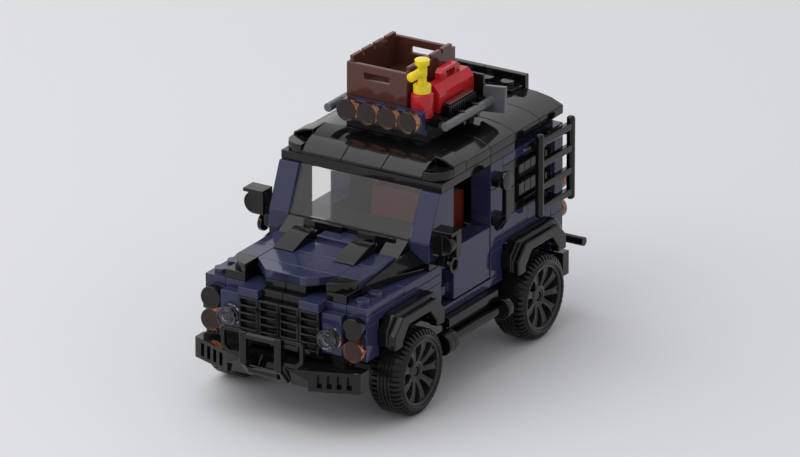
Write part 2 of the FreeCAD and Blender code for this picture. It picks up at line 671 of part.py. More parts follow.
gather("roof_sides",
       [prism(f"roof_side_{label}_{i}", "YZ", sided_outline(roof_side_shares, side), span)
        for label, side in SIDES for i, span in enumerate(roof_cells_shares, start=1)],
       [cut(f"roof_shoulder_{label}",
            prism(f"roof_shoulder_{label}_solid", "YZ", sided_outline(shoulder_shares, side),
                  shoulder_span_shares),
            prism(f"roof_shoulder_{label}_hollow", "YZ", sided_outline(shoulder_hollow_shares, side),
                  hollow_span_shares)) for label, side in SIDES])
roof_studs_shares = [(-7.5, 0.5), (-7.5, 1.5), (-7.5, -0.5), (-7.5, -1.5)]
roof_top_shares = [(-7, 0, -2, 2, 23, 25)]
roof_rear_shares = [(-8, -7, -2, 2, 23, 25.4)]
rear_rail_shares = [(-8.3, -8, -2.1, 2.1, 24.4, 26.4)]
gather("roof_top", bricks("roof_top", roof_top_shares),
       [fuse("roof_rear", bricks("roof_rear", roof_rear_shares)
             + studded("roof", roof_studs_shares, roof_rear_shares[0][-1]))],
       bricks("rear_rail", rear_rail_shares))

# Rack on the roof: a base with clips, the lamp bracket with four lamps, and the load
shaft_row_share, shaft_level_share = 2.75, 27
spare_row_share, spare_level_share = -2.6, 27.2
shaft_clips_shares, spare_clips_shares = (-3.75, -0.75), (-2.2,)
clip_root = f"({studs(2)} - {size('play')})"
rack_clips = [
    block(f"shaft_clip_{i}", centred(studs(x), size("bar_radius")),
          (clip_root, f"{studs(shaft_row_share)} - {size('bar_radius')} - {size('play')}"),
          centred(plates(shaft_level_share), size("bar_radius")))
          for i, x in enumerate(shaft_clips_shares, start=1)]
rack_clips += [
    block(f"spare_clip_{i}", centred(studs(x), size("bar_radius")),
          (f"{studs(spare_row_share)} + {size('bar_radius')} + {size('play')}", f"-{clip_root}"),
          centred(plates(spare_level_share), size("bar_radius")))
          for i, x in enumerate(spare_clips_shares, start=1)]
rack_base_shares = [(-4, -0.05, -2, 2, 25, 27.5)]
keep("rack_base", fuse("rack_base", bricks("rack_base", rack_base_shares) + rack_clips))
bracket_shares = [(0, 0.4, -2, 0, 26.4, 28.7), (0, 0.4, 0, 2, 26.4, 28.7), (-4, 0, -2, 1, 27.5, 28.5)]
gather("lamp_bracket", bricks("lamp_bracket", bracket_shares))
rack_lamp_rows_shares = (-1.5, -0.5, 0.5, 1.5)
rack_lamp_level_share = 27.7
gather("rack_lamps", round_tiles("rack_lamp", f"{studs(bracket_shares[0][1])} + {size('play')}",
       [(studs(row), plates(rack_lamp_level_share)) for row in rack_lamp_rows_shares]))

# Crate: ends with a slot for the hand, and sides of planks that stand a little higher
crate_share = (-4.05, -0.05, -2, 1, 28.5, 32.35)
crate_x, crate_y = shy(*map(studs, crate_share[:2])), shy(*map(studs, crate_share[2:4]))
crate_foot, crate_top = map(plates, crate_share[4:])
crate_outer = brick("crate_outer", crate_share)
crate_inner = block("crate_inner", (f"{crate_x[0]} + {size('wall')}", f"{crate_x[1]} - {size('wall')}"),
                    (f"{crate_y[0]} + {size('wall')}", f"{crate_y[1]} - {size('wall')}"),
                    (f"{crate_foot} + {size('wall')}", f"{crate_top} + {size('wall')}"))
handle_row_share, handle_half_share = -0.5, 0.62
handle_levels_shares = (30.7, 31.45)
hand_slot = block("crate_handles", (f"{crate_x[0]} - {size('wall')}", f"{crate_x[1]} + {size('wall')}"),
                  (studs(handle_row_share - handle_half_share),
                   studs(handle_row_share + handle_half_share)),
                  tuple(map(plates, handle_levels_shares)))
crate_hollow = cut("crate_walls", crate_outer, fuse("crate_hollow", [crate_inner, hand_slot]))
PLANK_COUNT = 4
plank_length = f"(({crate_x[1]} - ({crate_x[0]}) - 2 * {size('wall')}) / {PLANK_COUNT})"
planks = []
for k in range(PLANK_COUNT):
    start = f"({crate_x[0]} + {size('wall')} + {k} * {plank_length})"
    for label, low in (("right", crate_y[0]), ("left", f"{crate_y[1]} - {size('wall')}")):
        planks.append(block(f"plank_{label}_{k}", (f"{start} + {size('plank_gap')} / 2",
                                                   f"{start} + {plank_length} - {size('plank_gap')} / 2"),
                            (low, f"{low} + {size('wall')}"),
                            (f"{crate_top} - {size('wall')}", f"{crate_top} + {size('plank_rise')}")))
keep("crate", fuse("crate", [crate_hollow] + planks))

# Extinguisher, toolbox, tray and the long tools beside the crate
bottle_x_share, bottle_y_share = -0.5, 1.5
bottle_levels_shares = (27.5, 30.2)
valve_levels_shares = {"foot": (30.2, 31.1), "neck": (31.1, 33.4), "cap": (33.3, 33.95)}
nozzle_level_share, nozzle_share = 32.55, 0.96
bottle_x, bottle_y = studs(bottle_x_share), studs(bottle_y_share)


gather("extinguisher_bottle", [disc("bottle", "Z", *rise(bottle_levels_shares), bottle_x, bottle_y)])
keep("extinguisher_valve", fuse("valve", [
    many_sided("valve_foot", "Z", TILE_FACE_COUNT, size("valve_radius"), *rise(valve_levels_shares["foot"]),
               bottle_x, bottle_y),
    thin_bar("valve_neck", "Z", *rise(valve_levels_shares["neck"]), bottle_x, bottle_y),
    many_sided("valve_cap", "Z", TILE_FACE_COUNT, size("cap_radius"), *rise(valve_levels_shares["cap"]),
               bottle_x, bottle_y),
    thin_bar("valve_nozzle", "X", bottle_x, studs(nozzle_share), y=bottle_y, z=plates(nozzle_level_share)),
]))
toolbox_shares = [(1.05, 27.5), (1.95, 27.5), (1.95, 27.8), (2, 28.1), (2, 29.7), (1.72, 30.5), (1.33, 30.5),
                  (1.05, 29.7)]
toolbox_span_shares = (-3.9, -1.1)
toolbox_handle_shares = [(-3.25, 30.4), (-1.75, 30.4), (-1.75, 31.3), (-1.95, 31.7), (-3.05, 31.7),
                         (-3.25, 31.3)]
handle_rows_shares = (1.35, 1.7)
finger_hole_shares = [(-2.85, 30.55), (-2.15, 30.55), (-2.15, 31.35), (-2.85, 31.35)]
finger_rows_shares = (1, 2)
toolbox = fuse("toolbox", [prism("toolbox_body", "YZ", toolbox_shares, toolbox_span_shares),
                           prism("toolbox_handle", "XZ", toolbox_handle_shares, handle_rows_shares)])
keep("toolbox", cut("toolbox", toolbox, prism("toolbox_hole", "XZ", finger_hole_shares,
                                              finger_rows_shares)))
side_tray_share = (-3.4, -1.25, 2.02, 2.42, 26, 28.4)
tray_top_share = (-3.3, -1.35, 2.07, 2.37, 28.4, 28.65)
gather("side_tray", bricks("side_tray", [side_tray_share]))
gather("tray_top", bricks("tray_top", [tray_top_share]))
shaft_share, spare_share = (-4, 3.8), (-2.5, 3)
blade_shares = [(2.3, 25.6), (3.45, 25.9), (3.5, 28.9), (2.4, 28.6)]
blade_seat = f"({studs(shaft_share[0])} - {size('blade')})"
gather("rack_tools",
       [fuse("shovel", [
           thin_bar("shovel_shaft", "X", f"{studs(shaft_share[0])} - {size('blade')} / 2",
                    studs(shaft_share[1]),
                    y=studs(shaft_row_share), z=plates(shaft_level_share)),
           profile("shovel_blade", "YZ", [(studs(a), plates(b)) for a, b in blade_shares],
                   (blade_seat, f"{blade_seat} + {size('blade')}"))]),
        thin_bar("right_bar", "X", studs(spare_share[0]), studs(spare_share[1]),
                 y=studs(spare_row_share), z=plates(spare_level_share))])

# Ladder on the left side of the body: flat posts and rungs, held by two clips
ladder_middle_share = -6.5
ladder_middle = studs(ladder_middle_share)
rung_shares = (0.1, 0.36, 0.63, 0.89)


def rung_level(share):
    return f"({size('ladder_foot')} + {share} * {size('ladder_length')})"


ladder_parts = [block(f"ladder_post_{i}", centred(f"{ladder_middle} + {s} * {size('ladder_width')} / 2",
                                                  size("bar_radius")),
                      centred(size("ladder_row"), size("bar_radius")),
                      (size("ladder_foot"), f"{size('ladder_foot')} + {size('ladder_length')}"))
                for i, s in enumerate((-1, 1), start=1)]
ladder_parts += [block(f"rung_{i}", centred(ladder_middle, f"{size('ladder_width')} / 2"),
                       centred(size("ladder_row"), f"{size('rung')} / 2"),
                       centred(rung_level(share), f"{size('rung')} / 2"))
                 for i, share in enumerate(rung_shares, start=1)]
ladder_parts += [block(f"ladder_clip_{i}", centred(ladder_middle, size("clip_radius")),
                       (f"{studs(flank_shares[1])} + {size('play')}", size("ladder_row")),
                       centred(rung_level(share), f"{size('rung')} / 2"))
                 for i, share in enumerate((rung_shares[0], rung_shares[-1]), start=1)]
keep("ladder", fuse("ladder", ladder_parts))

# Mirrors: an upright plate with a half-round piece before it, on a bar that ends in a ring
mirror_plate_share = (2.35, 2.75, 4.2, 5.2, 16, 18.7)
mirror_square_share = (2.7, 3.1, 4.2, 4.7, 16.25, 18.7)
mirror_roof_share = (2.35, 3.15, 4.2, 5.2, 18.6, 19)
mirror_stalk_share = (2.3, 2.6, 4.2, 4.5, 14.6, 16.2)
mirror_face_share, mirror_arm_x_share, mirror_arm_level_share = 2.7, 2.25, 14.6
mirror_ring_shares = (4.6, 4.82)
mirror_half = f"({studs(mirror_plate_share[3] - mirror_plate_share[2])} / 2)"
mirrors = []
for label, side in SIDES:
    plate = bricks(f"mirror_{label}_plate",
                   sided([mirror_plate_share, mirror_square_share, mirror_roof_share, mirror_stalk_share],
                         side))
    face = disc(f"mirror_{label}_disc", "X", studs(mirror_face_share), size("mirror_plate"),
                y=f"({studs(side * mirror_plate_share[2])} + {side} * {mirror_half})",
                z=f"({plates(mirror_plate_share[5])} - {mirror_half})")
    reach = mirrored_span(f"{studs(flank_shares[1])} + {size('play')}", studs(mirror_ring_shares[1]), side)
    arm = thin_bar(f"mirror_{label}_arm", "Y", reach[0], f"{reach[1]} - ({reach[0]})",
                   x=studs(mirror_arm_x_share), z=plates(mirror_arm_level_share))
    low, high = map(studs, sided_span(*mirror_ring_shares, side))
    ring = many_sided(f"mirror_{label}_ring", "Y", TILE_FACE_COUNT, size("valve_radius"), low,
                      f"{high} - ({low})", x=studs(mirror_arm_x_share), z=plates(mirror_arm_level_share))
    mirrors.append(fuse(f"mirror_{label}", plate + [face, arm, ring]))
gather("mirrors", mirrors)

# A tool with a round head, held upright on the left side behind the door
tool_x_share, tool_row_share, tool_levels_shares = -2.2, 4.5, (15, 20.5)
tool_x, tool_row = studs(tool_x_share), studs(tool_row_share)
tool_clips_shares = [(-2.9, -2.05, 4, 4.35, 15, 16), (-2.9, -2.05, 4, 4.35, 19.5, 20.5)]
keep("side_tool", fuse("side_tool", [
    thin_bar("side_tool_shaft", "Z", *rise(tool_levels_shares), x=tool_x, y=tool_row),
    many_sided("side_tool_head", "Y", TILE_FACE_COUNT, size("valve_radius"), tool_row, size("tool_head"),
               x=tool_x, z=plates(tool_levels_shares[1]))]
    + bricks("tool_clip", tool_clips_shares)))

# Front bumper: swept ends with upright slots, a slanting cheek beside each leg, a low middle behind
bumper_levels_shares = (5, 7.3)
bumper_rows_shares = (2, 4.1)
end_reach_shares = (0.7, 0.32)
cheek_reach_shares = {"foot": 0.56, "top": 0.84}
middle_reach_share = 0.45
bumper_foot, bumper_top = map(plates, bumper_levels_shares)
bull_back = f"({bull_front} - {size('bull_post')})"


def reach_of(share):
    """A place before the body, as a share of how far the bull bar stands off."""
    return f"({studs(nose_share)} + {share} * {size('bull_standoff')})"


inner_x, outer_x = map(reach_of, end_reach_shares)
inner_y, outer_y = map(studs, bumper_rows_shares)
sweep = f"atan(({inner_x} - {outer_x}) / ({outer_y} - {inner_y}))"
SLOTS_PER_END = (-1.5, -0.5, 0.5, 1.5)


def handed(outline, side):
    """An outline seen from above, on the left or the right."""
    return outline if side > 0 else [(x, f"-({y})") for x, y in reversed(outline)]


def handed_upright(outline, side):
    """An outline seen from the front, on the left or the right."""
    return outline if side > 0 else [(f"-({y})", z) for y, z in reversed(outline)]


def bumper_end(label, side):
    """One swept end with its row of upright slots, cut square into the swept face."""
    end = profile(f"bumper_end_{label}_solid", "XY",
                  handed([(studs(nose_share), inner_y), (inner_x, inner_y), (outer_x, outer_y),
                          (studs(nose_share), outer_y)], side), (bumper_foot, bumper_top))
    slots = []
    for i, k in enumerate(SLOTS_PER_END):
        slot = doc.addObject("Part::Box", f"bumper_slot_{label}_{i}")
        bind(slot, Length=f"2 * {size('slot_depth')}", Width=size("slot_width"),
             Height=f"{bumper_top} - {bumper_foot} - 2 * {size('slot_border')}")
        turn = f"({side} * {sweep})"
        row = f"(({inner_y} + {outer_y}) / 2 + {k} * {size('slot_pitch')} * cos({sweep}))"
        face_x = f"(({inner_x} + {outer_x}) / 2 - {k} * {size('slot_pitch')} * sin({sweep}))"
        half = f"{size('slot_width')} / 2"
        bind(slot, Placement__Rotation__Angle=turn)
        slot.Placement.Rotation.Axis = FreeCAD.Vector(0, 0, 1)
        at(slot, f"{face_x} - {size('slot_depth')} * cos({sweep}) + {side} * {half} * sin({turn})",
           f"{side} * {row} - {size('slot_depth')} * sin({turn}) - {half} * cos({sweep})",
           f"{bumper_foot} + {size('slot_border')}")
        slots.append(slot)
    return cut(f"bumper_end_{label}", end, fuse(f"bumper_slots_{label}", slots))


def bumper_cheek(label, side):
    """The slanting part between a leg and a swept end: its face leans and sweeps at once."""
    inside = f"({size('bull_post_row')} + {size('bull_post')} / 2 - {size('play')})"
    foot, top = reach_of(cheek_reach_shares["foot"]), reach_of(cheek_reach_shares["top"])
    lean = profile(f"bumper_lean_{label}", "XZ",
                   [(studs(nose_share), bumper_foot), (foot, bumper_foot), (top, bumper_top),
                    (studs(nose_share), bumper_top)],
                    mirrored_span(inside, f"{inner_y} + {size('play')}", side))
    sweep_outline = [(studs(nose_share), inside), (top, inside), (inner_x, inner_y),
                     (inner_x, f"{inner_y} + {size('play')}"),
                     (studs(nose_share), f"{inner_y} + {size('play')}")]
    swept = profile(f"bumper_sweep_{label}", "XY", handed(sweep_outline, side), (bumper_foot, bumper_top))
    return common(f"bumper_cheek_{label}", lean, swept)


bumper_middle = block("bumper_middle", (studs(nose_share), reach_of(middle_reach_share)),
                      centred("0", inner_y), (bumper_foot, bumper_top))
keep("bumper_front", fuse("bumper_front", [bumper_end(label, side) for label, side in SIDES]
                          + [bumper_cheek(label, side) for label, side in SIDES] + [bumper_middle]))

# Bull bar: two posts with rails and chamfered outer hoops, and a leg slanting back under each post
bull_bottom, bull_top, bull_rod = size("bull_foot"), size("bull_top"), size("bull_hoop")
hoop_row = f"({size('bull_hoop_row')} + {bull_rod} / 2)"
hoop_hole = f"({size('bull_hoop_row')} - {bull_rod} / 2)"
post_inside = f"({size('bull_post_row')} - {size('bull_post')} / 2)"
rail_foot = f"({bull_top} - {size('bull_rail')})"
cross_level_share = 6.3
leg_foot_x = reach_of(cheek_reach_shares["foot"])
bull_parts = [
    block("bull_top_rail", (f"{bull_back} + {size('play')}", f"{bull_front} - {size('play')}"),
          centred("0", f"({post_inside} + {size('play')})"), (rail_foot, f"{bull_top} - {size('play')}")),
    thin_bar("bull_cross", "Y", f"-({post_inside} + {size('play')})",
             f"2 * ({post_inside} + {size('play')})",
             x=f"({bull_back} - {bull_rod} / 4)", z=plates(cross_level_share))]
for label, side in SIDES:
    post = centred(f"({side} * {size('bull_post_row')})", f"{size('bull_post')} / 2")
    bull_parts.append(block(f"bull_post_{label}", (bull_back, bull_front), post, (bull_bottom, bull_top)))
    bull_parts.append(profile(f"bull_leg_{label}", "XZ",
                              [(leg_foot_x, f"{bumper_foot} - {bull_rod}"),
                               (f"{leg_foot_x} + {size('bull_post')}", f"{bumper_foot} - {bull_rod}"),
                               (bull_front, f"{bull_bottom} + {bull_rod}"),
                               (bull_back, f"{bull_bottom} + {bull_rod}")], post))
    outside = profile(f"bull_hoop_{label}_outside", "YZ", handed_upright([
        (size("bull_post_row"), bull_bottom), (f"{hoop_row} - 2 * {bull_rod}", bull_bottom),
        (hoop_row, f"{bull_bottom} + 2 * {bull_rod}"), (hoop_row, f"{bull_top} - {bull_rod} / 2"),
        (f"{hoop_row} - {bull_rod} / 2", bull_top), (size("bull_post_row"), bull_top)], side),
        (f"{bull_back} + {size('play')}", f"{bull_back} + {bull_rod}"))
    inside = profile(f"bull_hoop_{label}_inside", "YZ", handed_upright([
        (post_inside, f"{bull_bottom} + {bull_rod}"),
        (f"{hoop_hole} - 3 / 2 * {bull_rod}", f"{bull_bottom} + {bull_rod}"),
        (hoop_hole, f"{bull_bottom} + 5 / 2 * {bull_rod}"), (hoop_hole, f"{bull_top} - {bull_rod}"),
        (post_inside, f"{bull_top} - {bull_rod}")], side),
        (f"{bull_back} - {bull_rod}", f"{bull_back} + 2 * {bull_rod}"))
    bull_parts.append(cut(f"bull_hoop_{label}", outside, inside))
keep("bull_bar", fuse("bull_bar", bull_parts))

# Rear bumper with a bar across it, held in two clips, and a hook hung from each end
rear_plate_rows_shares, rear_plate_levels_shares = (-3, 3), (7, 8)
rear_middle_share, rear_bar_level_share, rear_bar_half_share = -8.5, 8.2, 4.8
bar_clips_shares = [(-3, -2), (2, 3)]
clip_foot_share = 7.5
hook_shares = [(-8.8, -8.3, 2.5, 2.95, 5.9, 7.1), (-8.8, -8.3, 2.9, 3.85, 5.9, 6.5),
               (-8.8, -8.3, 3.3, 3.85, 3.8, 6)]
rear_middle, rear_bar_level = studs(rear_middle_share), plates(rear_bar_level_share)
rear_parts = [
    block("bumper_rear_plate", (f"-{studs(tail_share)}", f"-{studs(nose_share)} - {size('play')}"),
          tuple(map(studs, rear_plate_rows_shares)), tuple(map(plates, rear_plate_levels_shares))),
    rod("bumper_rear_bar", "Y", size("bar_radius"), f"-{studs(rear_bar_half_share)}",
        f"2 * {studs(rear_bar_half_share)}", x=rear_middle, z=rear_bar_level)]
rear_parts += [block(f"rear_clip_{i}", centred(rear_middle, size("clip_radius")), (studs(low), studs(high)),
                     (plates(clip_foot_share), f"{rear_bar_level} + {size('clip_radius')}"))
               for i, (low, high) in enumerate(bar_clips_shares, start=1)]
rear_parts += [block(f"rear_hook_{i}", (studs(x0), studs(x1)), (studs(y0), studs(y1)),
                     (plates(z0), plates(z1)))
               for i, (x0, x1, y0, y1, z0, z1) in enumerate(both_sides(hook_shares), start=1)]
keep("bumper_rear", fuse("bumper_rear", rear_parts))

# Inside: a wide bench, and the dashboard with the steering wheel
seat_shares = [(-2.3, 9), (0.3, 9), (0.3, 12), (-0.5, 12), (-0.75, 18.2), (-2.3, 18.2)]
seat_rows_shares = (-1.1, 2.5)
gather("seats", [prism("seat", "XZ", seat_shares, seat_rows_shares)])
dash_share = (1, 1.95, -2.9, 2.9, 9, 16.9)
steering_row_share, steering_level_share, steering_x_share, column_end_share = 1.4, 15, 0.5, 1.1
steering_row, steering_level = studs(steering_row_share), plates(steering_level_share)
column = thin_bar("steering_column", "X", studs(steering_x_share),
                  studs(column_end_share - steering_x_share),
                  y=steering_row, z=steering_level)
steering = disc("steering_wheel", "X", studs(steering_x_share), size("wall"), y=steering_row,
                z=steering_level)
keep("dashboard", fuse("dashboard", [brick("dash", dash_share), column, steering]))

doc.recompute()

failed = [thing.Name for thing in doc.Objects if "Invalid" in thing.State or "Error" in thing.State]
if failed:
    raise RuntimeError(f"not built: {failed}")
for name, thing in pieces.items():
    if thing.Shape.isNull() or not thing.Shape.isValid() or thing.Shape.Volume <= 0:
        raise RuntimeError(f"not sound: {name}")
for name, thing in pieces.items():
    thing.Shape.exportStep(f"parts/{name}.step")
print(f"{len(pieces)} pieces, {sum(len(thing.Shape.Solids) for thing in pieces.values())} solids")
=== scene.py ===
import json
import math

import bmesh
import bpy
from mathutils import Matrix, Vector


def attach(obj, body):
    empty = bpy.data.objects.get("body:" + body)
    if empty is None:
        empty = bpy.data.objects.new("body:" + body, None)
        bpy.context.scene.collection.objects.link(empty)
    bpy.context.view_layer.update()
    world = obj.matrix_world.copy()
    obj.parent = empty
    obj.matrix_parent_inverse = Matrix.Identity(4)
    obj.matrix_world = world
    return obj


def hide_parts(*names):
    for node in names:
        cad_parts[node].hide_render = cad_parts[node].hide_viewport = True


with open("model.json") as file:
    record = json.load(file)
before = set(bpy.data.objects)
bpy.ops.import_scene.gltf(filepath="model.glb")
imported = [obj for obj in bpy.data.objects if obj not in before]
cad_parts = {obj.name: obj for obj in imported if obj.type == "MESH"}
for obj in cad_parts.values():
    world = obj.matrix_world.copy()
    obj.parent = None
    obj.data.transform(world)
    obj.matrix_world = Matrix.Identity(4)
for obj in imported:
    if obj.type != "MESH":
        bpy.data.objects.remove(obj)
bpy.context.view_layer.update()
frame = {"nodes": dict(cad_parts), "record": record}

MM = 0.001
STUD = 8 * MM            # one stud along or across
PLATE = 3.2 * MM         # one plate of height
PLAY = 0.05 * MM         # what a brick is smaller than its cell, on each face
FORE_SHIFT = 4.2 * MM    # the body's middle lies this far before the origin of the grid
BODY = "body"
SLOT_OF = {piece["node"]: piece["material_slot"] for piece in frame["record"]["subparts"]}
BODY_OF = {node: body for body, nodes in frame["record"]["behaviour"]["bodies"].items() for node in nodes}


# Finishes: the effects that the plastics share, then one material for each colour and kind

def new_group(name, inputs, outputs):
    """An empty node group with named sockets, its input node and its output node."""
    group = bpy.data.node_groups.new(name, "ShaderNodeTree")
    for label, kind, value in inputs:
        socket = group.interface.new_socket(label, in_out="INPUT", socket_type=kind)
        if value is not None:
            socket.default_value = value
    for label, kind in outputs:
        group.interface.new_socket(label, in_out="OUTPUT", socket_type=kind)
    return group, group.nodes.new("NodeGroupInput"), group.nodes.new("NodeGroupOutput")


def worked_out(tree, operation, first, second, clamp=False):
    """A Math node's result; each side is a socket or a number."""
    node = tree.nodes.new("ShaderNodeMath")
    node.operation = operation
    node.use_clamp = clamp
    for socket, value in zip(node.inputs, (first, second)):
        if isinstance(value, bpy.types.NodeSocket):
            tree.links.new(value, socket)
        else:
            socket.default_value = value
    return node.outputs[0]


def noise(tree, scale, detail, stretch=None):
    """Noise laid out in the object's own metres."""
    place = tree.nodes.new("ShaderNodeTexCoord").outputs["Object"]
    if stretch:
        mapping = tree.nodes.new("ShaderNodeMapping")
        mapping.inputs["Scale"].default_value = stretch
        tree.links.new(place, mapping.inputs["Vector"])
        place = mapping.outputs["Vector"]
    node = tree.nodes.new("ShaderNodeTexNoise")
    node.inputs["Detail"].default_value = detail
    tree.links.new(place, node.inputs["Vector"])
    if isinstance(scale, bpy.types.NodeSocket):
        tree.links.new(scale, node.inputs["Scale"])
    else:
        node.inputs["Scale"].default_value = scale
    return node.outputs["Fac"]


def moulded_grain_group():
    """The faint unevenness of a moulded face, as a normal."""
    group, given, put_out = new_group(
        "moulded_grain",
        [("Scale", "NodeSocketFloat", 900.0), ("Depth", "NodeSocketFloat", 0.1)],
        [("Normal", "NodeSocketVector")])
    bump = group.nodes.new("ShaderNodeBump")
    bump.inputs["Distance"].default_value = 0.05 * MM
    group.links.new(noise(group, given.outputs["Scale"], detail=3.0), bump.inputs["Height"])
    group.links.new(given.outputs["Depth"], bump.inputs["Strength"])
    group.links.new(bump.outputs["Normal"], put_out.inputs["Normal"])
    return group


def handling_marks_group():
    """Roughness that changes over the surface: broad smudges and a few fine rubs."""
    group, given, put_out = new_group(
        "handling_marks",
        [("Smooth", "NodeSocketFloat", 0.15), ("Rubbed", "NodeSocketFloat", 0.3)],
        [("Roughness", "NodeSocketFloat")])
    smudge = noise(group, scale=70.0, detail=4.0)
    rub = noise(group, scale=260.0, detail=6.0, stretch=(1.0, 4.0, 1.0))
    spread = group.nodes.new("ShaderNodeMapRange")
    spread.inputs["From Min"].default_value = 0.35
    spread.inputs["From Max"].default_value = 0.75
    average = worked_out(group, "MULTIPLY", worked_out(group, "ADD", smudge, rub), 0.5)
    group.links.new(average, spread.inputs["Value"])
    group.links.new(given.outputs["Smooth"], spread.inputs["To Min"])
    group.links.new(given.outputs["Rubbed"], spread.inputs["To Max"])
    group.links.new(spread.outputs["Result"], put_out.inputs["Roughness"])
    return group


def edge_wear_group():
    """A mask of the outward edges, where handling polishes and pales the plastic."""
    group, given, put_out = new_group(
        "edge_wear",
        [("Width", "NodeSocketFloat", 0.4 * MM), ("Amount", "NodeSocketFloat", 0.5)],
        [("Mask", "NodeSocketFloat")])
    bevel = group.nodes.new("ShaderNodeBevel")
    bevel.samples = 4
    group.links.new(given.outputs["Width"], bevel.inputs["Radius"])
    geometry = group.nodes.new("ShaderNodeNewGeometry")
    dot = group.nodes.new("ShaderNodeVectorMath")
    dot.operation = "DOT_PRODUCT"
    group.links.new(bevel.outputs["Normal"], dot.inputs[0])
    group.links.new(geometry.outputs["Normal"], dot.inputs[1])
    bend = worked_out(group, "SUBTRACT", 1.0, dot.outputs["Value"])
    edge = worked_out(group, "MULTIPLY", bend, 4.0, clamp=True)
    broken = worked_out(group, "MULTIPLY", edge, noise(group, scale=420.0, detail=5.0))
    mask = worked_out(group, "MULTIPLY", broken, given.outputs["Amount"], clamp=True)
    group.links.new(mask, put_out.inputs["Mask"])
    return group


def settled_dust_group():
    """A mask of the faces that look up, where a little dust lies."""
    group, given, put_out = new_group(
        "settled_dust", [("Amount", "NodeSocketFloat", 0.04)], [("Mask", "NodeSocketFloat")])
    geometry = group.nodes.new("ShaderNodeNewGeometry")
    facing = group.nodes.new("ShaderNodeSeparateXYZ")
    group.links.new(geometry.outputs["Normal"], facing.inputs["Vector"])
    upward = worked_out(group, "MAXIMUM", facing.outputs["Z"], 0.0)
    looks_up = worked_out(group, "POWER", upward, 2.0)
    patchy = worked_out(group, "MULTIPLY", looks_up, noise(group, scale=180.0, detail=6.0))
    mask = worked_out(group, "MULTIPLY", patchy, given.outputs["Amount"], clamp=True)
    group.links.new(mask, put_out.inputs["Mask"])
    return group


def uneven_colour_group():
    """The base colour, a little lighter and darker from place to place."""
    group, given, put_out = new_group(
        "uneven_colour",
        [("Colour", "NodeSocketColor", (0.5, 0.5, 0.5, 1.0)), ("Spread", "NodeSocketFloat", 0.08)],
        [("Colour", "NodeSocketColor")])
    centred = worked_out(group, "SUBTRACT", noise(group, scale=45.0, detail=3.0), 0.5)
    shift = worked_out(group, "MULTIPLY", centred, given.outputs["Spread"])
    tone = group.nodes.new("ShaderNodeHueSaturation")
    group.links.new(given.outputs["Colour"], tone.inputs["Color"])
    group.links.new(worked_out(group, "ADD", shift, 1.0), tone.inputs["Value"])
    group.links.new(tone.outputs["Color"], put_out.inputs["Colour"])
    return group


GRAIN = moulded_grain_group()
MARKS = handling_marks_group()
WEAR = edge_wear_group()
DUST = settled_dust_group()
UNEVEN = uneven_colour_group()
DUST_COLOUR = (0.42, 0.41, 0.39, 1.0)


def placed(tree, group, **values):
    """One use of a shared group, with its own values."""
    node = tree.nodes.new("ShaderNodeGroup")
    node.node_tree = group
    for label, value in values.items():
        node.inputs[label].default_value = value
    return node


def mixed(tree, mask, first, second):
    """A colour mix; each colour is a socket or four numbers."""
    node = tree.nodes.new("ShaderNodeMix")
    node.data_type = "RGBA"
    tree.links.new(mask, node.inputs["Factor"])
    # the Mix node's colour sockets share their names with its others, so they go by number
    for socket, value in ((node.inputs[6], first), (node.inputs[7], second)):
        if isinstance(value, bpy.types.NodeSocket):
            tree.links.new(value, socket)
        else:
            socket.default_value = value
    return node.outputs[2]


def bare_material(name):
    """A new material, its node tree and its Principled shader."""
    material = bpy.data.materials.new(name)
    material.use_nodes = True
    tree = material.node_tree
    return material, tree, tree.nodes["Principled BSDF"]


def surfaced(tree, shader, smooth, rubbed, grain_scale, grain_depth):
    """Give a shader the marks of handling and the grain of its mould."""
    marks = placed(tree, MARKS, Smooth=smooth, Rubbed=rubbed)
    tree.links.new(marks.outputs["Roughness"], shader.inputs["Roughness"])
    grain = placed(tree, GRAIN, Scale=grain_scale, Depth=grain_depth)
    tree.links.new(grain.outputs["Normal"], shader.inputs["Normal"])


def plastic(name, colour, worn, smooth=0.05, rubbed=0.14, grain=0.04, wear=0.4, dust=0.008, spread=0.1,
            ior=1.41):
    """Moulded plastic: its colour varies a little, its edges are paler, and dust lies on top."""
    material, tree, shader = bare_material(name)
    base = placed(tree, UNEVEN, Colour=(*colour, 1.0), Spread=spread).outputs["Colour"]
    edges = placed(tree, WEAR, Width=0.45 * MM, Amount=wear).outputs["Mask"]
    dusty = placed(tree, DUST, Amount=dust).outputs["Mask"]
    handled = mixed(tree, edges, base, (*worn, 1.0))
    tree.links.new(mixed(tree, dusty, handled, DUST_COLOUR), shader.inputs["Base Color"])
    surfaced(tree, shader, smooth, rubbed, grain_scale=1400.0, grain_depth=grain)
    shader.inputs["IOR"].default_value = ior
    return material


def clear_plastic(name, colour, smooth=0.03, rubbed=0.08, ior=1.43, let_through=0.75):
    """See-through plastic, tinted by its base colour; part of the light passes straight on behind it."""
    material, tree, shader = bare_material(name)
    base = placed(tree, UNEVEN, Colour=(*colour, 1.0), Spread=0.06).outputs["Colour"]
    tree.links.new(base, shader.inputs["Base Color"])
    surfaced(tree, shader, smooth, rubbed, grain_scale=500.0, grain_depth=0.03)
    shader.inputs["Transmission Weight"].default_value = 1.0
    shader.inputs["IOR"].default_value = ior
    passing = tree.nodes.new("ShaderNodeBsdfTransparent")
    passing.inputs["Color"].default_value = (*colour, 1.0)
    path = tree.nodes.new("ShaderNodeLightPath")
    both = tree.nodes.new("ShaderNodeMixShader")
    shadow_share = worked_out(tree, "MULTIPLY", path.outputs["Is Shadow Ray"], let_through)
    tree.links.new(shadow_share, both.inputs["Fac"])
    tree.links.new(shader.outputs["BSDF"], both.inputs[1])
    tree.links.new(passing.outputs["BSDF"], both.inputs[2])
    tree.links.new(both.outputs["Shader"], tree.nodes["Material Output"].inputs["Surface"])
    return material


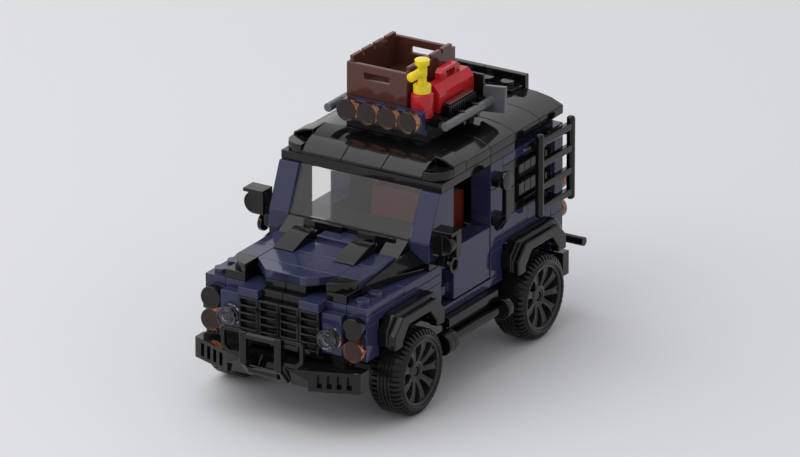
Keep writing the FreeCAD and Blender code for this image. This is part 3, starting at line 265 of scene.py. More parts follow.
FINISHES = {
    "blue_plastic": plastic("navy_plastic", (0.024, 0.028, 0.071), (0.10, 0.11, 0.18)),
    "black_plastic": plastic("black_plastic", (0.0045, 0.0045, 0.0048), (0.03, 0.03, 0.03)),
    "rim_plastic": plastic("black_rim_plastic", (0.022, 0.022, 0.023), (0.10, 0.10, 0.10),
                           smooth=0.14, rubbed=0.24),
    "tyre_rubber": plastic("tyre_rubber", (0.010, 0.010, 0.010), (0.05, 0.05, 0.05),
                           smooth=0.2, rubbed=0.34, ior=1.34, grain=0.25, dust=0.05),
    "brown_plastic": plastic("reddish_brown_plastic", (0.095, 0.032, 0.022), (0.25, 0.13, 0.10)),
    "red_plastic": plastic("red_plastic", (0.50, 0.016, 0.022), (0.70, 0.12, 0.10)),
    "yellow_plastic": plastic("yellow_plastic", (0.88, 0.68, 0.012), (0.95, 0.82, 0.3)),
    "grey_plastic": plastic("grey_plastic", (0.11, 0.115, 0.125), (0.3, 0.3, 0.3)),
    "smoked_clear": clear_plastic("smoked_clear", (0.86, 0.84, 0.81), let_through=0.9),
    "clear": clear_plastic("clear_lens", (0.88, 0.89, 0.91)),
    "orange_clear": clear_plastic("orange_lens", (0.48, 0.15, 0.06)),
    "amber_clear": clear_plastic("amber_lens", (0.30, 0.12, 0.065)),
}
SEAT_FINISH = plastic("seat_plastic", (0.22, 0.034, 0.02), (0.3, 0.1, 0.07))


# Shapes: how a mesh is made, rounded and cut

SHARP = math.radians(33)             # an edge that turns more than this is rounded
SHADING_BREAK = math.radians(50)     # shading stays broken at an edge that turns more than this
FLAT = math.radians(0.5)             # faces that turn less than this are one face
SAME_SPOT = 0.0005 * MM
SAME_CAD_CORNER = 0.002 * MM
ON_THE_CUT = 0.0001 * MM
MANY_SIDES = 24                      # a solid with at least so many corners is a round bar

# Radii of rounded edges
MOULDED_EDGE = 0.28 * MM
BRICK_EDGE = 0.2 * MM
STOUT_EDGE = 0.25 * MM
RUNG_EDGE = 0.3 * MM
BULL_BAR_EDGE = 0.35 * MM
FLARE_EDGE = 0.55 * MM
THIN_EDGE = 0.15 * MM
RIB_EDGE = 0.12 * MM
ARCH_EDGE = 0.05 * MM
SLAT_EDGE = 0.04 * MM

# Steps round a turned piece
POST_STEPS, BAR_STEPS, RING_STEPS, TILE_STEPS, TYRE_STEPS = 24, 32, 48, 64, 96


def shape_object(name, shape):
    """Turn a bmesh into an object with smooth faces between its sharp edges."""
    bmesh.ops.recalc_face_normals(shape, faces=shape.faces)
    mesh = bpy.data.meshes.new(name)
    shape.to_mesh(mesh)
    shape.free()
    mesh.shade_smooth()
    mesh.set_sharp_from_angle(angle=SHADING_BREAK)
    piece = bpy.data.objects.new(name, mesh)
    bpy.context.scene.collection.objects.link(piece)
    weigh = piece.modifiers.new("even_shading", "WEIGHTED_NORMAL")
    weigh.keep_sharp = True
    return piece


def islands(shape):
    """The separate solids of a bmesh, as lists of vertices."""
    seen = set()
    for first in shape.verts:
        if first in seen:
            continue
        lot, waiting = [], [first]
        seen.add(first)
        while waiting:
            vertex = waiting.pop()
            lot.append(vertex)
            for edge in vertex.link_edges:
                other = edge.other_vert(vertex)
                if other not in seen:
                    seen.add(other)
                    waiting.append(other)
        yield lot


def soften(shape, radius):
    """Round the sharp edges of every solid, each as far as that solid allows."""
    for lot in list(islands(shape)):
        edges = {edge for vertex in lot for edge in vertex.link_edges}
        sharp = [edge for edge in edges if len(edge.link_faces) == 2 and edge.calc_face_angle() > SHARP]
        if sharp:
            bmesh.ops.bevel(shape, geom=sharp, offset=radius, offset_type="OFFSET", segments=2,
                            profile=0.5, affect="EDGES", clamp_overlap=True)


def lathe(outline, axis, middle, steps=TILE_STEPS):
    """Turn an outline of (radius, place along the axis) round an axis through a point."""
    shape = bmesh.new()
    lay = {"X": Matrix.Rotation(math.pi / 2, 4, "Y"), "Y": Matrix.Rotation(-math.pi / 2, 4, "X"),
           "Z": Matrix.Identity(4)}[axis]
    rings = []
    for k in range(steps):
        turn = Matrix.Rotation(2 * math.pi * k / steps, 4, "Z")
        rings.append([shape.verts.new(Vector(middle) + lay @ (turn @ Vector((radius, 0, along))))
                      for radius, along in outline])
    for k in range(steps):
        here, after = rings[k], rings[(k + 1) % steps]
        for i in range(len(outline)):
            j = (i + 1) % len(outline)
            shape.faces.new((here[i], here[j], after[j], after[i]))
    bmesh.ops.remove_doubles(shape, verts=shape.verts, dist=SAME_SPOT)
    return shape


def grid(x, y, z):
    """A place counted in studs along, studs across and plates up."""
    return Vector((x * STUD - FORE_SHIFT, y * STUD, z * PLATE))


def mm_spot(x, y, z):
    """A place in millimetres, before the body's middle is brought over the origin."""
    return Vector((x * MM - FORE_SHIFT, y * MM, z * MM))


def in_mm(outline):
    """An outline given in millimetres, in metres."""
    return [(radius * MM, along * MM) for radius, along in outline]


def outward_lathe(outline, middle, side, steps):
    """Turn an outline in millimetres round an axis across the body; its places count outward."""
    return lathe(in_mm([(radius, along * side) for radius, along in outline]), "Y", middle, steps)


def merged(node):
    """The CAD node's faces as one bmesh without its doubled corners and needless edges."""
    shape = bmesh.new()
    shape.from_mesh(frame["nodes"][node].data)
    bmesh.ops.remove_doubles(shape, verts=shape.verts, dist=SAME_CAD_CORNER)
    bmesh.ops.dissolve_limit(shape, angle_limit=FLAT, verts=shape.verts, edges=shape.edges)
    return shape


def joined(shapes):
    """Several bmeshes put into the first of them."""
    whole = shapes[0]
    for other in shapes[1:]:
        mesh = bpy.data.meshes.new("part")
        other.to_mesh(mesh)
        other.free()
        whole.from_mesh(mesh)
        bpy.data.meshes.remove(mesh)
    return whole


def loft(sections):
    """Skin a row of rings that have the same number of corners, and close both ends."""
    shape = bmesh.new()
    rings = [[shape.verts.new(corner) for corner in section] for section in sections]
    count = len(rings[0])
    for here, after in zip(rings, rings[1:]):
        for i in range(count):
            j = (i + 1) % count
            shape.faces.new((here[i], here[j], after[j], after[i]))
    shape.faces.new(rings[0])
    shape.faces.new(list(reversed(rings[-1])))
    bmesh.ops.recalc_face_normals(shape, faces=shape.faces)
    return shape


def box(low, high):
    """A plain block between two corners."""
    x0, y0, z0 = low
    x1, y1, z1 = high
    return loft([[(x, y0, z0), (x, y1, z0), (x, y1, z1), (x, y0, z1)] for x in (x0, x1)])


def mm_box(low, high):
    """A block between two places in millimetres, before the body's middle is brought over the origin."""
    corners = [Vector(corner) * MM - Vector((FORE_SHIFT, 0, 0)) for corner in (low, high)]
    return box(*corners)


def extrude(outline, axis, start, end):
    """A closed outline carried along one axis; its corners are given on the two other axes in order."""
    at_axis = "XYZ".index(axis)
    sections = []
    for place in (start, end):
        ring = []
        for first, second in outline:
            corner = [first, second]
            corner.insert(at_axis, place)
            ring.append(tuple(corner))
        sections.append(ring)
    return loft(sections)


def split(shape, axis, places):
    """Part the solids that cross each plane into bricks of their own, with the play between them."""
    at_axis = "XYZ".index(axis)
    for place in places:
        whole = bpy.data.meshes.new("whole")
        shape.to_mesh(whole)
        shape.clear()
        for side in (-1, 1):
            half = bmesh.new()
            half.from_mesh(whole)
            point, outward = Vector((0, 0, 0)), Vector((0, 0, 0))
            point[at_axis] = place - side * PLAY
            outward[at_axis] = side
            cut = bmesh.ops.bisect_plane(half, geom=half.verts[:] + half.edges[:] + half.faces[:],
                                         dist=ON_THE_CUT, plane_co=point, plane_no=outward, clear_outer=True)
            open_edges = [item for item in cut["geom_cut"] if isinstance(item, bmesh.types.BMEdge)
                          and item.is_valid and len(item.link_faces) < 2]
            bmesh.ops.holes_fill(half, edges=open_edges, sides=0)
            mesh = bpy.data.meshes.new("half")
            half.to_mesh(mesh)
            half.free()
            shape.from_mesh(mesh)
            bpy.data.meshes.remove(mesh)
        bpy.data.meshes.remove(whole)
    return shape


def measured(lot):
    """The two far corners of a lot of vertices."""
    low = Vector(min(vertex.co[i] for vertex in lot) for i in range(3))
    high = Vector(max(vertex.co[i] for vertex in lot) for i in range(3))
    return low, high


def round_bars(node):
    """The many-sided bars of a CAD node: the axis, the middle and the two ends of each."""
    shape = merged(node)
    bars = []
    for lot in islands(shape):
        low, high = measured(lot)
        for i, axis in enumerate("XYZ"):
            if len({round(vertex.co[i] / MM, 2) for vertex in lot}) == 2 and len(lot) >= MANY_SIDES:
                bars.append((axis, (low + high) / 2, low[i], high[i]))
    shape.free()
    return bars


# Pieces: what each is called, the finish and the body it takes, and what it stands for

DRESSED = set()


def dress(piece, node):
    """Finish a piece as its CAD node is, ride it on the node's body, and let it stand for the node."""
    piece.data.materials.clear()
    piece.data.materials.append(FINISHES[SLOT_OF[node]])
    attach(piece, BODY_OF[node])
    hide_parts(node)
    DRESSED.add(node)
    return piece


def moulded(node, shape, radius=MOULDED_EDGE):
    """Round a shape's edges and let it stand for a CAD node."""
    soften(shape, radius)
    return dress(shape_object(f"{node}_moulded", shape), node)


def added(name, node, shape, radius=BRICK_EDGE):
    """A piece beside a CAD node: the same finish and the same body, standing for nothing itself."""
    soften(shape, radius)
    piece = shape_object(name, shape)
    piece.data.materials.append(FINISHES[SLOT_OF[node]])
    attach(piece, BODY_OF[node])
    return piece


# The rows of studs and plates where one brick ends and the next begins
SEAMS = {
    "chassis": (("X", (-4, 0, 4)),),
    "sills": (("X", (0,)),),
    "fenders": (("X", (5,)),),
    "rear_sides": (("Z", (13, 16, 19)), ("X", (-5,))),
    "rear_wall": (("Z", (12, 15.02, 18)), ("Y", (-1, 1))),
    "rear_windows": (("Z", (18.02,)),),
    "nose": (("Z", (10.02,)), ("Y", (-1, 1))),
    "roof_base": (("X", (-6, -2)),),
    "roof_top": (("X", (-5, -3)), ("Y", (0.02,))),
    "hood_base": (("X", (5.02,)), ("Y", (0.02,))),
    "hood": (("X", (5.5,)),),
    "rack_base": (("X", (-2,)),),
}
UNIT = {"X": STUD, "Y": STUD, "Z": PLATE}
for node, cuts in SEAMS.items():
    shape = merged(node)
    for axis, rows in cuts:
        shift = FORE_SHIFT if axis == "X" else 0
        split(shape, axis, [row * UNIT[axis] - shift for row in rows])
    moulded(node, shape, BRICK_EDGE)

# Round tiles and lamps. Turned outlines are in millimetres: the radius, then the place along the axis
LENS = [(0, -1.5), (2.4, -1.5), (2.4, -1.57), (3.95, -1.57), (3.95, 1.2), (3.8, 1.5), (3.5, 1.57),
        (3.1, 1.5), (2.85, 1.1), (2.5, 1.1), (2.25, 1.5), (1.9, 1.57), (1.5, 1.45), (1.25, 1.05),
        (0.9, 1.05), (0.6, 1.4), (0, 1.5)]
TILE = [(0, -1.57), (3.75, -1.57), (3.95, -1.35), (3.95, 1.3), (3.85, 1.5), (3.6, 1.57), (0, 1.57)]
OUTLINE_DEPTH = 3.15 * MM
# A socket inside the back of a headlamp lens: its dark grey finish is painted shade for the lamp's inside
SHADE_SOCKET = [(0, 0.1), (2.6, 0.1), (2.6, 0.4), (1.1, 0.4), (1.0, 0.9), (0, 0.9)]


def round_pieces(node, outline):
    """True-round pieces in place of a CAD node's many-sided ones; each one's face looks outward."""
    lot = []
    for axis, middle, low, high in round_bars(node):
        scale = (high - low) / OUTLINE_DEPTH
        away = 1 if middle.x > -FORE_SHIFT or axis != "X" else -1
        lot.append(lathe([(radius, along * scale * away) for radius, along in in_mm(outline)], axis, middle))
    return dress(shape_object(f"{node}_turned", joined(lot)), node)


round_pieces("headlamps", LENS)
# Dark grey sockets inside the headlamp lenses, painted shade: they darken each clear lamp from within
sockets = [lathe(in_mm(SHADE_SOCKET), "X", Vector((low, middle.y, middle.z)), RING_STEPS)
           for _, middle, low, _ in round_bars("headlamps")]
shade_socket_piece = shape_object("headlamp_shade_sockets", joined(sockets))
shade_socket_piece.data.materials.append(FINISHES["rim_plastic"])
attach(shade_socket_piece, BODY)
for node in ("indicators", "markers", "rack_lamps"):
    round_pieces(node, TILE)

# Extinguisher: a round bottle with a shoulder, and its valve with a nozzle across the top
BOTTLE = [(0, -4.32), (3.6, -4.32), (3.95, -4.0), (3.95, -1.9), (3.8, -1.7), (3.8, -1.4), (3.95, -1.2),
          (3.95, 3.3), (3.7, 4.0), (3.2, 4.32), (0, 4.32)]
VALVE = [(0, 96.64), (2.9, 96.64), (3.1, 96.85), (3.1, 99.3), (2.9, 99.52), (1.75, 99.52), (1.6, 99.8),
         (1.55, 102.4), (1.75, 102.6), (1.75, 105.2), (1.55, 105.4), (1.55, 106.56), (2.4, 106.56),
         (2.6, 106.8), (2.6, 108.4), (2.3, 108.64), (0, 108.7)]
NOZZLE = [(0, 0), (1.5, 0), (1.5, 3.6), (1.4, 3.8), (1.4, 4.6), (1.6, 4.8), (1.6, 7.4), (1.35, 7.68),
          (0, 7.68)]
NOZZLE_LEVEL = 104.16 * MM
bottle_middle = round_bars("extinguisher_bottle")[0][1]
dress(shape_object("extinguisher_bottle_turned", lathe(in_mm(BOTTLE), "Z", bottle_middle)),
      "extinguisher_bottle")
valve_foot = Vector((bottle_middle.x, bottle_middle.y, 0))
valve = joined([lathe(in_mm(VALVE), "Z", valve_foot),
                lathe(in_mm(NOZZLE), "X", valve_foot + Vector((0, 0, NOZZLE_LEVEL)))])
dress(shape_object("extinguisher_valve_turned", valve), "extinguisher_valve")

# Side steps: a board with an apron, and under it a bar between round pieces with doubled flanges
STEP_FRONT = [(0, -3.2), (3.6, -3.2), (3.95, -2.9), (3.95, -0.35), (3.7, -0.1), (3.7, 0.1), (3.95, 0.35),
              (3.95, 2.9), (3.6, 3.2), (2.3, 3.2), (2.2, 2.6), (0, 2.6)]
STEP_REAR = [(0, -1.6), (3.6, -1.6), (3.95, -1.3), (3.95, 1.3), (3.6, 1.6), (0, 1.6)]
STEP_BAR = [(0, -19), (1.6, -19), (1.6, 18), (0, 18)]
STEP_FRONT_HALF, STEP_REAR_HALF = 3.2 * MM, 1.6 * MM
UNDER_BOARD = 8 * PLATE - 2 * PLAY       # what ends below this is a bar
boards = merged("side_steps")
step_lots = []
for lot in list(islands(boards)):
    low, high = measured(lot)
    if high.z > UNDER_BOARD:
        continue
    middle = (low + high) / 2
    step_lots.append(lathe(in_mm(STEP_FRONT), "X", (high.x - STEP_FRONT_HALF, middle.y, middle.z)))
    step_lots.append(lathe(in_mm(STEP_REAR), "X", (low.x + STEP_REAR_HALF, middle.y, middle.z)))
    step_lots.append(lathe(in_mm(STEP_BAR), "X", (middle.x, middle.y, middle.z), BAR_STEPS))
    bmesh.ops.delete(boards, geom=lot, context="VERTS")
soften(boards, STOUT_EDGE)
dress(shape_object("side_steps_boards", boards), "side_steps")
dress(shape_object("side_steps_turned", joined(step_lots)), "side_steps")

# Wheels: tyres with grooves and lugs, rims with nine hollowed spokes and a bored hub.
# Their outlines count outward along the axis from the middle of the tyre's width
AXLE_REACH, AXLE_ROW, AXLE_LEVEL = 40 * MM, 33 * MM, 15.2 * MM
WHEELS = {f"{end}_{side}": (along * AXLE_REACH - FORE_SHIFT, across * AXLE_ROW, AXLE_LEVEL)
          for end, along in (("front", 1), ("rear", -1))
          for side, across in (("left", 1), ("right", -1))}
TREAD = [(14.2, 2.7), (14.3, 2.55), (15.2, 2.45), (15.2, 1.65), (14.75, 1.5), (14.75, 1.3), (15.2, 1.15),
         (15.2, 0.35), (14.75, 0.2)]
TYRE_INNER = [(12.3, -6.42), (11.5, -6.45), (11.35, -6.6), (11.4, -6.85), (11.7, -7), (13.3, -6.95),
              (13.8, -6.5), (13.9, -6)]
TYRE_OUTER = [(13.7, 4.9), (13.4, 5.5), (13.0, 5.95), (12.75, 6.05), (12.65, 6.3), (12.3, 6.45),
              (11.8, 6.35), (11.55, 6.1), (11.55, 5.85), (12.3, 5.7)]
TYRE = TYRE_INNER + [(radius, -along) for radius, along in TREAD] + list(reversed(TREAD)) + TYRE_OUTER
RIM = [(12.25, -6.4), (12.25, 5.7), (11.5, 5.95), (11.0, 5.95), (10.6, 5.75), (10.4, 5.2), (10.5, -6.1),
       (11.1, -6.4)]
HUB = [(1.7, -0.5), (3.1, -0.5), (3.1, 3.0), (4.1, 3.1), (4.1, 3.8), (3.8, 4.05), (2.6, 4.15), (2.4, 3.8),
       (1.75, 3.8)]

# A lug's sections: place along the axle, inner and outer radius, half width
LUG_SECTIONS = [(2.3, 13.7, 15.1, 0.32), (2.7, 13.7, 15.2, 0.42), (4.3, 13.6, 15.15, 0.45),
                (5.1, 13.3, 14.7, 0.45), (5.9, 12.8, 13.5, 0.4)]
LUG_COUNT = 48
LUG_FOOT, LUG_CHAMFER, LUG_TOP_SHARE = 0.15, 0.12, 0.85
LUG_STAGGER = 0.25       # share of a pitch that the lugs of each shoulder are turned by

# A spoke's sections: reach from the axle, face, back, half width
SPOKE_SECTIONS = [(2.6, 3.8, 1.4, 0.9), (4.2, 4.3, 2.0, 0.95), (6.2, 4.95, 2.6, 1.0), (8.0, 5.3, 2.8, 1.2),
                  (9.6, 5.4, 2.6, 1.5), (10.3, 5.35, 2.2, 1.8), (10.8, 5.1, 1.8, 2.2)]
SPOKE_COUNT = 9
FIRST_SPOKE = math.radians(177.5)
HOLLOW_SHARE, HOLLOW_DEPTH = 0.6, 0.25


def spoke(centre, side, angle):
    """One spoke that leaves the wheel's axis at an angle, its face hollowed between two ridges."""
    outward = Vector((math.cos(angle), 0, -math.sin(angle)))
    across = Vector((math.sin(angle), 0, math.cos(angle)))
    rings = []
    for reach, face, back, half in SPOKE_SECTIONS:
        middle = Vector(centre) + outward * reach * MM
        ridge, sunk = HOLLOW_SHARE * half, face - HOLLOW_DEPTH
        corners = [(half, back), (half, face), (ridge, face), (0.5 * ridge, sunk), (-0.5 * ridge, sunk),
                   (-ridge, face), (-half, face), (-half, back)]
        rings.append([middle + across * w * MM + Vector((0, side * along * MM, 0)) for w, along in corners])
    return loft(rings)


def lug(centre, side, angle):
    """One lug on a shoulder of the tyre, from the middle rib out over the edge."""
    outward = Vector((math.cos(angle), 0, math.sin(angle)))
    across = Vector((-math.sin(angle), 0, math.cos(angle)))
    rings = []
    for along, low, high, half in LUG_SECTIONS:
        middle = Vector(centre) + Vector((0, side * along * MM, 0))
        shoulder, top = high - LUG_CHAMFER, LUG_TOP_SHARE * half
        corners = [(half + LUG_FOOT, low), (half, shoulder), (top, high), (-top, high), (-half, shoulder),
                   (-half - LUG_FOOT, low)]
        rings.append([middle + across * w * MM + outward * r * MM for w, r in corners])
    return loft(rings)


for label, centre in WHEELS.items():
    side = 1 if centre[1] > 0 else -1
    rubber = [outward_lathe(TYRE, centre, side, TYRE_STEPS)]
    for flank in (-1, 1):
        for k in range(LUG_COUNT):
            rubber.append(lug(centre, flank, 2 * math.pi * (k + LUG_STAGGER * flank) / LUG_COUNT))
    dress(shape_object(f"tyre_{label}_treaded", joined(rubber)), f"tyre_{label}")
    web = joined([spoke(centre, side, FIRST_SPOKE + 2 * math.pi * k / SPOKE_COUNT)
                  for k in range(SPOKE_COUNT)])
    soften(web, THIN_EDGE)
    barrel = outward_lathe(RIM, centre, side, TYRE_STEPS)
    hub = outward_lathe(HUB, centre, side, RING_STEPS)
    dress(shape_object(f"rim_{label}_spoked", joined([barrel, hub, web])), f"rim_{label}")

# Axles: the brick under the keel as it is, with pins that end inside the hubs
PIN = [(0, -36.4), (1.3, -36.4), (1.55, -36.1), (1.55, 36.1), (1.3, 36.4), (0, 36.4)]
for end in ("front", "rear"):
    along, _, level = WHEELS[f"{end}_left"]
    low = (along - (STUD - PLAY), -2 * STUD + PLAY, 3 * PLATE + PLAY)
    high = (along + (STUD - PLAY), 2 * STUD - PLAY, 6 * PLATE - PLAY)
    hanger = box(low, high)
    soften(hanger, STOUT_EDGE)
    axle = joined([hanger, lathe(in_mm(PIN), "Y", (along, 0, level), BAR_STEPS)])
    dress(shape_object(f"axle_{end}", axle), "axles")

# Rear side windows: two shutters with upright slats, one over the other, in each window
SHUTTER_ENDS, SHUTTER_LEVELS = (-6.45, -4.05), ((16.05, 17.9), (18.1, 19.95))
SHUTTER_ROWS, SLAT_ROWS = (3.6, 3.85), (3.575, 3.875)
SLAT_COUNT = 5
SLAT_START, SLAT_SHARE = 0.05, 0.9       # shares of the slats' pitch
SLAT_MARGIN = 0.6 * MM                   # above and below the slats
shutters = []
for side in (1, -1):
    for low_level, high_level in SHUTTER_LEVELS:
        low, high = grid(SHUTTER_ENDS[0], 0, low_level), grid(SHUTTER_ENDS[1], 0, high_level)
        rows = sorted(side * row * STUD for row in SHUTTER_ROWS)
        shutters.append(box((low.x, rows[0], low.z), (high.x, rows[1], high.z)))
        rows = sorted(side * row * STUD for row in SLAT_ROWS)
        pitch = (high.x - low.x) / SLAT_COUNT
        for k in range(SLAT_COUNT):
            start = low.x + (k + SLAT_START) * pitch
            shutters.append(box((start, rows[0], low.z + SLAT_MARGIN),
                                (start + SLAT_SHARE * pitch, rows[1], high.z - SLAT_MARGIN)))
added("rear_window_shutters", "rear_windows", joined(shutters), SLAT_EDGE)

# Walls of the rear wheel arches, inside the body
ARCH_ENDS, ARCH_LEVELS, ARCH_ROWS = (-7, -3), (9.02, 15), (2.945, 2.995)
arch_walls = []
for side in (1, -1):
    low, high = grid(ARCH_ENDS[0], 0, ARCH_LEVELS[0]), grid(ARCH_ENDS[1], 0, ARCH_LEVELS[1])
    rows = sorted(side * row * STUD for row in ARCH_ROWS)
    arch_walls.append(box((low.x, rows[0], low.z), (high.x, rows[1], high.z)))
added("rear_arch_walls", "chassis", joined(arch_walls), ARCH_EDGE)

# Clips that reach over the long shaft beside the toolbox, and the one behind the blade
SHAFT_ROW, SHAFT_LEVEL = 2.75, 27
CLIP_PLACES, CLIP_HALF = (-1.8, -2.9), 0.1
CLIP_INSIDE, CLIP_OUTSIDE, CLIP_DROP = 0.42, 0.1, 0.9    # studs inward and outward, plates down
CLIP_RISE, CLIP_SHOULDER, CLIP_CORNER = 2.1 * MM, 0.9 * MM, 1 * MM
BLADE_CLIP = ((-4.16, 1.8, 26.3), (-4, 2.4, 29.8))
clips = []
for place in CLIP_PLACES:
    low = grid(place - CLIP_HALF, SHAFT_ROW - CLIP_INSIDE, SHAFT_LEVEL - CLIP_DROP)
    high = grid(place + CLIP_HALF, SHAFT_ROW + CLIP_OUTSIDE, 0)
    top = SHAFT_LEVEL * PLATE + CLIP_RISE
    clips.append(extrude([(low.y, low.z), (high.y, low.z), (high.y, top - CLIP_SHOULDER),
                          (high.y - CLIP_CORNER, top), (low.y + CLIP_CORNER, top),
                          (low.y, top - CLIP_SHOULDER)], "X", low.x, high.x))
clips.append(box(grid(*BLADE_CLIP[0]), grid(*BLADE_CLIP[1])))
added("tool_clips", "rack_base", joined(clips), STOUT_EDGE)

# Ribs down both long sides of the tray
RIB_COUNT, RIB_START = 12, 0.25          # the start is a share of the ribs' pitch
RIB_WIDTH, RIB_PROUD, RIB_FOOT, RIB_HEAD = 0.7 * MM, 0.25 * MM, 1.2 * MM, 0.3 * MM
tray_low, tray_high = measured(frame["nodes"]["side_tray"].data.vertices)
tray_lots = [merged("side_tray")]
for k in range(RIB_COUNT):
    start = tray_low.x + (k + RIB_START) * (tray_high.x - tray_low.x) / RIB_COUNT
    tray_lots.append(box((start, tray_low.y - RIB_PROUD, tray_low.z + RIB_FOOT),
                         (start + RIB_WIDTH, tray_high.y + RIB_PROUD, tray_high.z - RIB_HEAD)))
moulded("side_tray", joined(tray_lots), RIB_EDGE)

for end in ("front", "rear"):
    moulded(f"flares_{end}", merged(f"flares_{end}"), FLARE_EDGE)

# Mirrors: an upright plate and a square one before it, a half-round dish, a roof, and a bar with a ring.
# The flat ones are given by their two ends along, then across in studs, then up in plates
MIRROR_BRICKS = ((2.35, 2.75, 4.2, 5.2, 16, 18.6), (2.75, 3.1, 4.2, 4.7, 16.25, 18.6),
                 (2.35, 3.15, 4.2, 5.2, 18.6, 19), (2.3, 2.6, 4.2, 4.5, 14.6, 16.0))
DISH = [(0, 0), (3.85, 0), (3.95, 0.2), (3.95, 2.9), (3.75, 3.15), (3.5, 3.2), (3.2, 2.9), (0, 2.6)]
RING = [(0, 0), (2.9, 0), (3.1, 0.25), (3.1, 1.5), (2.9, 1.76), (1.95, 1.76), (1.75, 1.5), (1.75, 0.5),
        (0, 0.5)]
ARM = [(0, 0), (1.6, 0), (1.6, 4.9), (0, 4.9)]
DISH_CORNER, RING_SPOT, ARM_SPOT = (2.7, 4.2, 18.7), (2.25, 4.6, 14.6), (2.25, 4.02, 14.6)
DISH_RADIUS = 4 * MM
for label, side in (("left", 1), ("right", -1)):
    lots = []
    for x0, x1, y0, y1, z0, z1 in MIRROR_BRICKS:
        one, other = grid(x0, side * y0, z0), grid(x1, side * y1, z1)
        lots.append(box((one.x, min(one.y, other.y), one.z), (other.x, max(one.y, other.y), other.z)))
    mirror_bricks = joined(lots)
    soften(mirror_bricks, BRICK_EDGE)
    dish_corner, ring_middle, arm_middle = (
        grid(x, side * y, z) for x, y, z in (DISH_CORNER, RING_SPOT, ARM_SPOT))
    turned = [lathe(in_mm(DISH), "X", dish_corner + Vector((0, side * DISH_RADIUS, -DISH_RADIUS))),
              outward_lathe(RING, ring_middle, side, RING_STEPS),
              outward_lathe(ARM, arm_middle, side, BAR_STEPS)]
    dress(shape_object(f"mirror_{label}", joined([mirror_bricks] + turned)), "mirrors")

# Ladder: round posts with domed ends, flat rungs, two stays to the body side, and two hooks on a bar
LADDER_ENDS, LADDER_MIDDLE, LADDER_ROW = (-62.4, -41.6), -52, 36
RUNG_LEVELS, RUNG_HALF_HEIGHT, RUNG_HALF_DEPTH = (46.64, 54.54, 62.75, 70.66), 1.25, 1.1
POST = [(0, 43.6), (0.9, 43.65), (1.4, 44.1), (1.5, 44.8), (1.5, 72.8), (1.4, 73.5), (0.9, 73.95), (0, 74)]
HANGER = [(0, -10.4), (1.4, -10.4), (1.6, -10.2), (1.6, 10.2), (1.4, 10.4), (0, 10.4)]
SIDE_FACE = 32.05                        # just outside the face of the rear body side
STAY_HALF = 2.6
HANGER_ROW, HANGER_LEVEL = 33.8, 68.9
HOOK_STARTS, HOOK_WIDTH, HOOK_ROW, HOOK_LEVELS = (-63.2, -47.5), 3.2, 35.4, (67.6, 70.2)
rungs = [mm_box((LADDER_ENDS[0], LADDER_ROW - RUNG_HALF_DEPTH, level - RUNG_HALF_HEIGHT),
                (LADDER_ENDS[1], LADDER_ROW + RUNG_HALF_DEPTH, level + RUNG_HALF_HEIGHT))
         for level in RUNG_LEVELS]
stays = [mm_box((LADDER_MIDDLE - STAY_HALF, SIDE_FACE, level - RUNG_HALF_HEIGHT),
                (LADDER_MIDDLE + STAY_HALF, LADDER_ROW, level + RUNG_HALF_HEIGHT))
         for level in (RUNG_LEVELS[0], RUNG_LEVELS[-1])]
hooks = [mm_box((start, SIDE_FACE, HOOK_LEVELS[0]), (start + HOOK_WIDTH, HOOK_ROW, HOOK_LEVELS[1]))
         for start in HOOK_STARTS]
ladder_flats = joined(rungs + stays + hooks)
soften(ladder_flats, RUNG_EDGE)
posts = [lathe(in_mm(POST), "Z", mm_spot(x, LADDER_ROW, 0), POST_STEPS) for x in LADDER_ENDS]
hanging_bar = lathe(in_mm(HANGER), "X", mm_spot(LADDER_MIDDLE, HANGER_ROW, HANGER_LEVEL), POST_STEPS)
dress(shape_object("ladder_moulded", joined([ladder_flats, hanging_bar] + posts)), "ladder")

# Bull bar: two posts with a round rail between them, a chamfered hoop beside each, and a leg slanting
# back below. The hoops' outlines are rows and levels, the legs' are places along and levels
POST_ROWS, POST_ENDS, POST_LEVELS = (5.5, 8.3), (78.7, 80.4), (22.9, 34.4)
HOOP_OUTSIDE = [(6.9, 24.6), (13.6, 24.6), (16.25, 27), (16.25, 33.6), (15.5, 34.4), (6.9, 34.4)]
HOOP_INSIDE = [(8.2, 26), (13, 26), (14.85, 27.7), (14.85, 32.8), (14.6, 33), (8.2, 33)]
HOOP_BACK, HOOP_FACE = 77.65, 79.1
LEG = [(73.4, 17), (75, 16.8), (80.2, 22.4), (80.4, 23.6), (78.7, 23.6), (78.5, 22.8)]
LEG_INSET = 0.3
RAIL = [(0, -5.7), (1.2, -5.7), (1.2, 5.7), (0, 5.7)]
CROSS = [(0, -5.7), (1.6, -5.7), (1.6, 5.7), (0, 5.7)]
RAIL_SPOT, CROSS_SPOT = (79.3, 0, 32.9), (77.2, 0, 20.16)


def hoop(side):
    """A flat closed hoop, from its outer and its inner outline seen from the front."""
    shape = bmesh.new()
    rings = []
    for outer, inner in zip(HOOP_OUTSIDE, HOOP_INSIDE):
        rings.append([shape.verts.new(mm_spot(x, side * row, level))
                      for (row, level), x in ((outer, HOOP_BACK), (outer, HOOP_FACE),
                                              (inner, HOOP_FACE), (inner, HOOP_BACK))])
    for k, ring in enumerate(rings):
        after = rings[(k + 1) % len(rings)]
        for i in range(4):
            shape.faces.new((ring[i], ring[(i + 1) % 4], after[(i + 1) % 4], after[i]))
    return shape


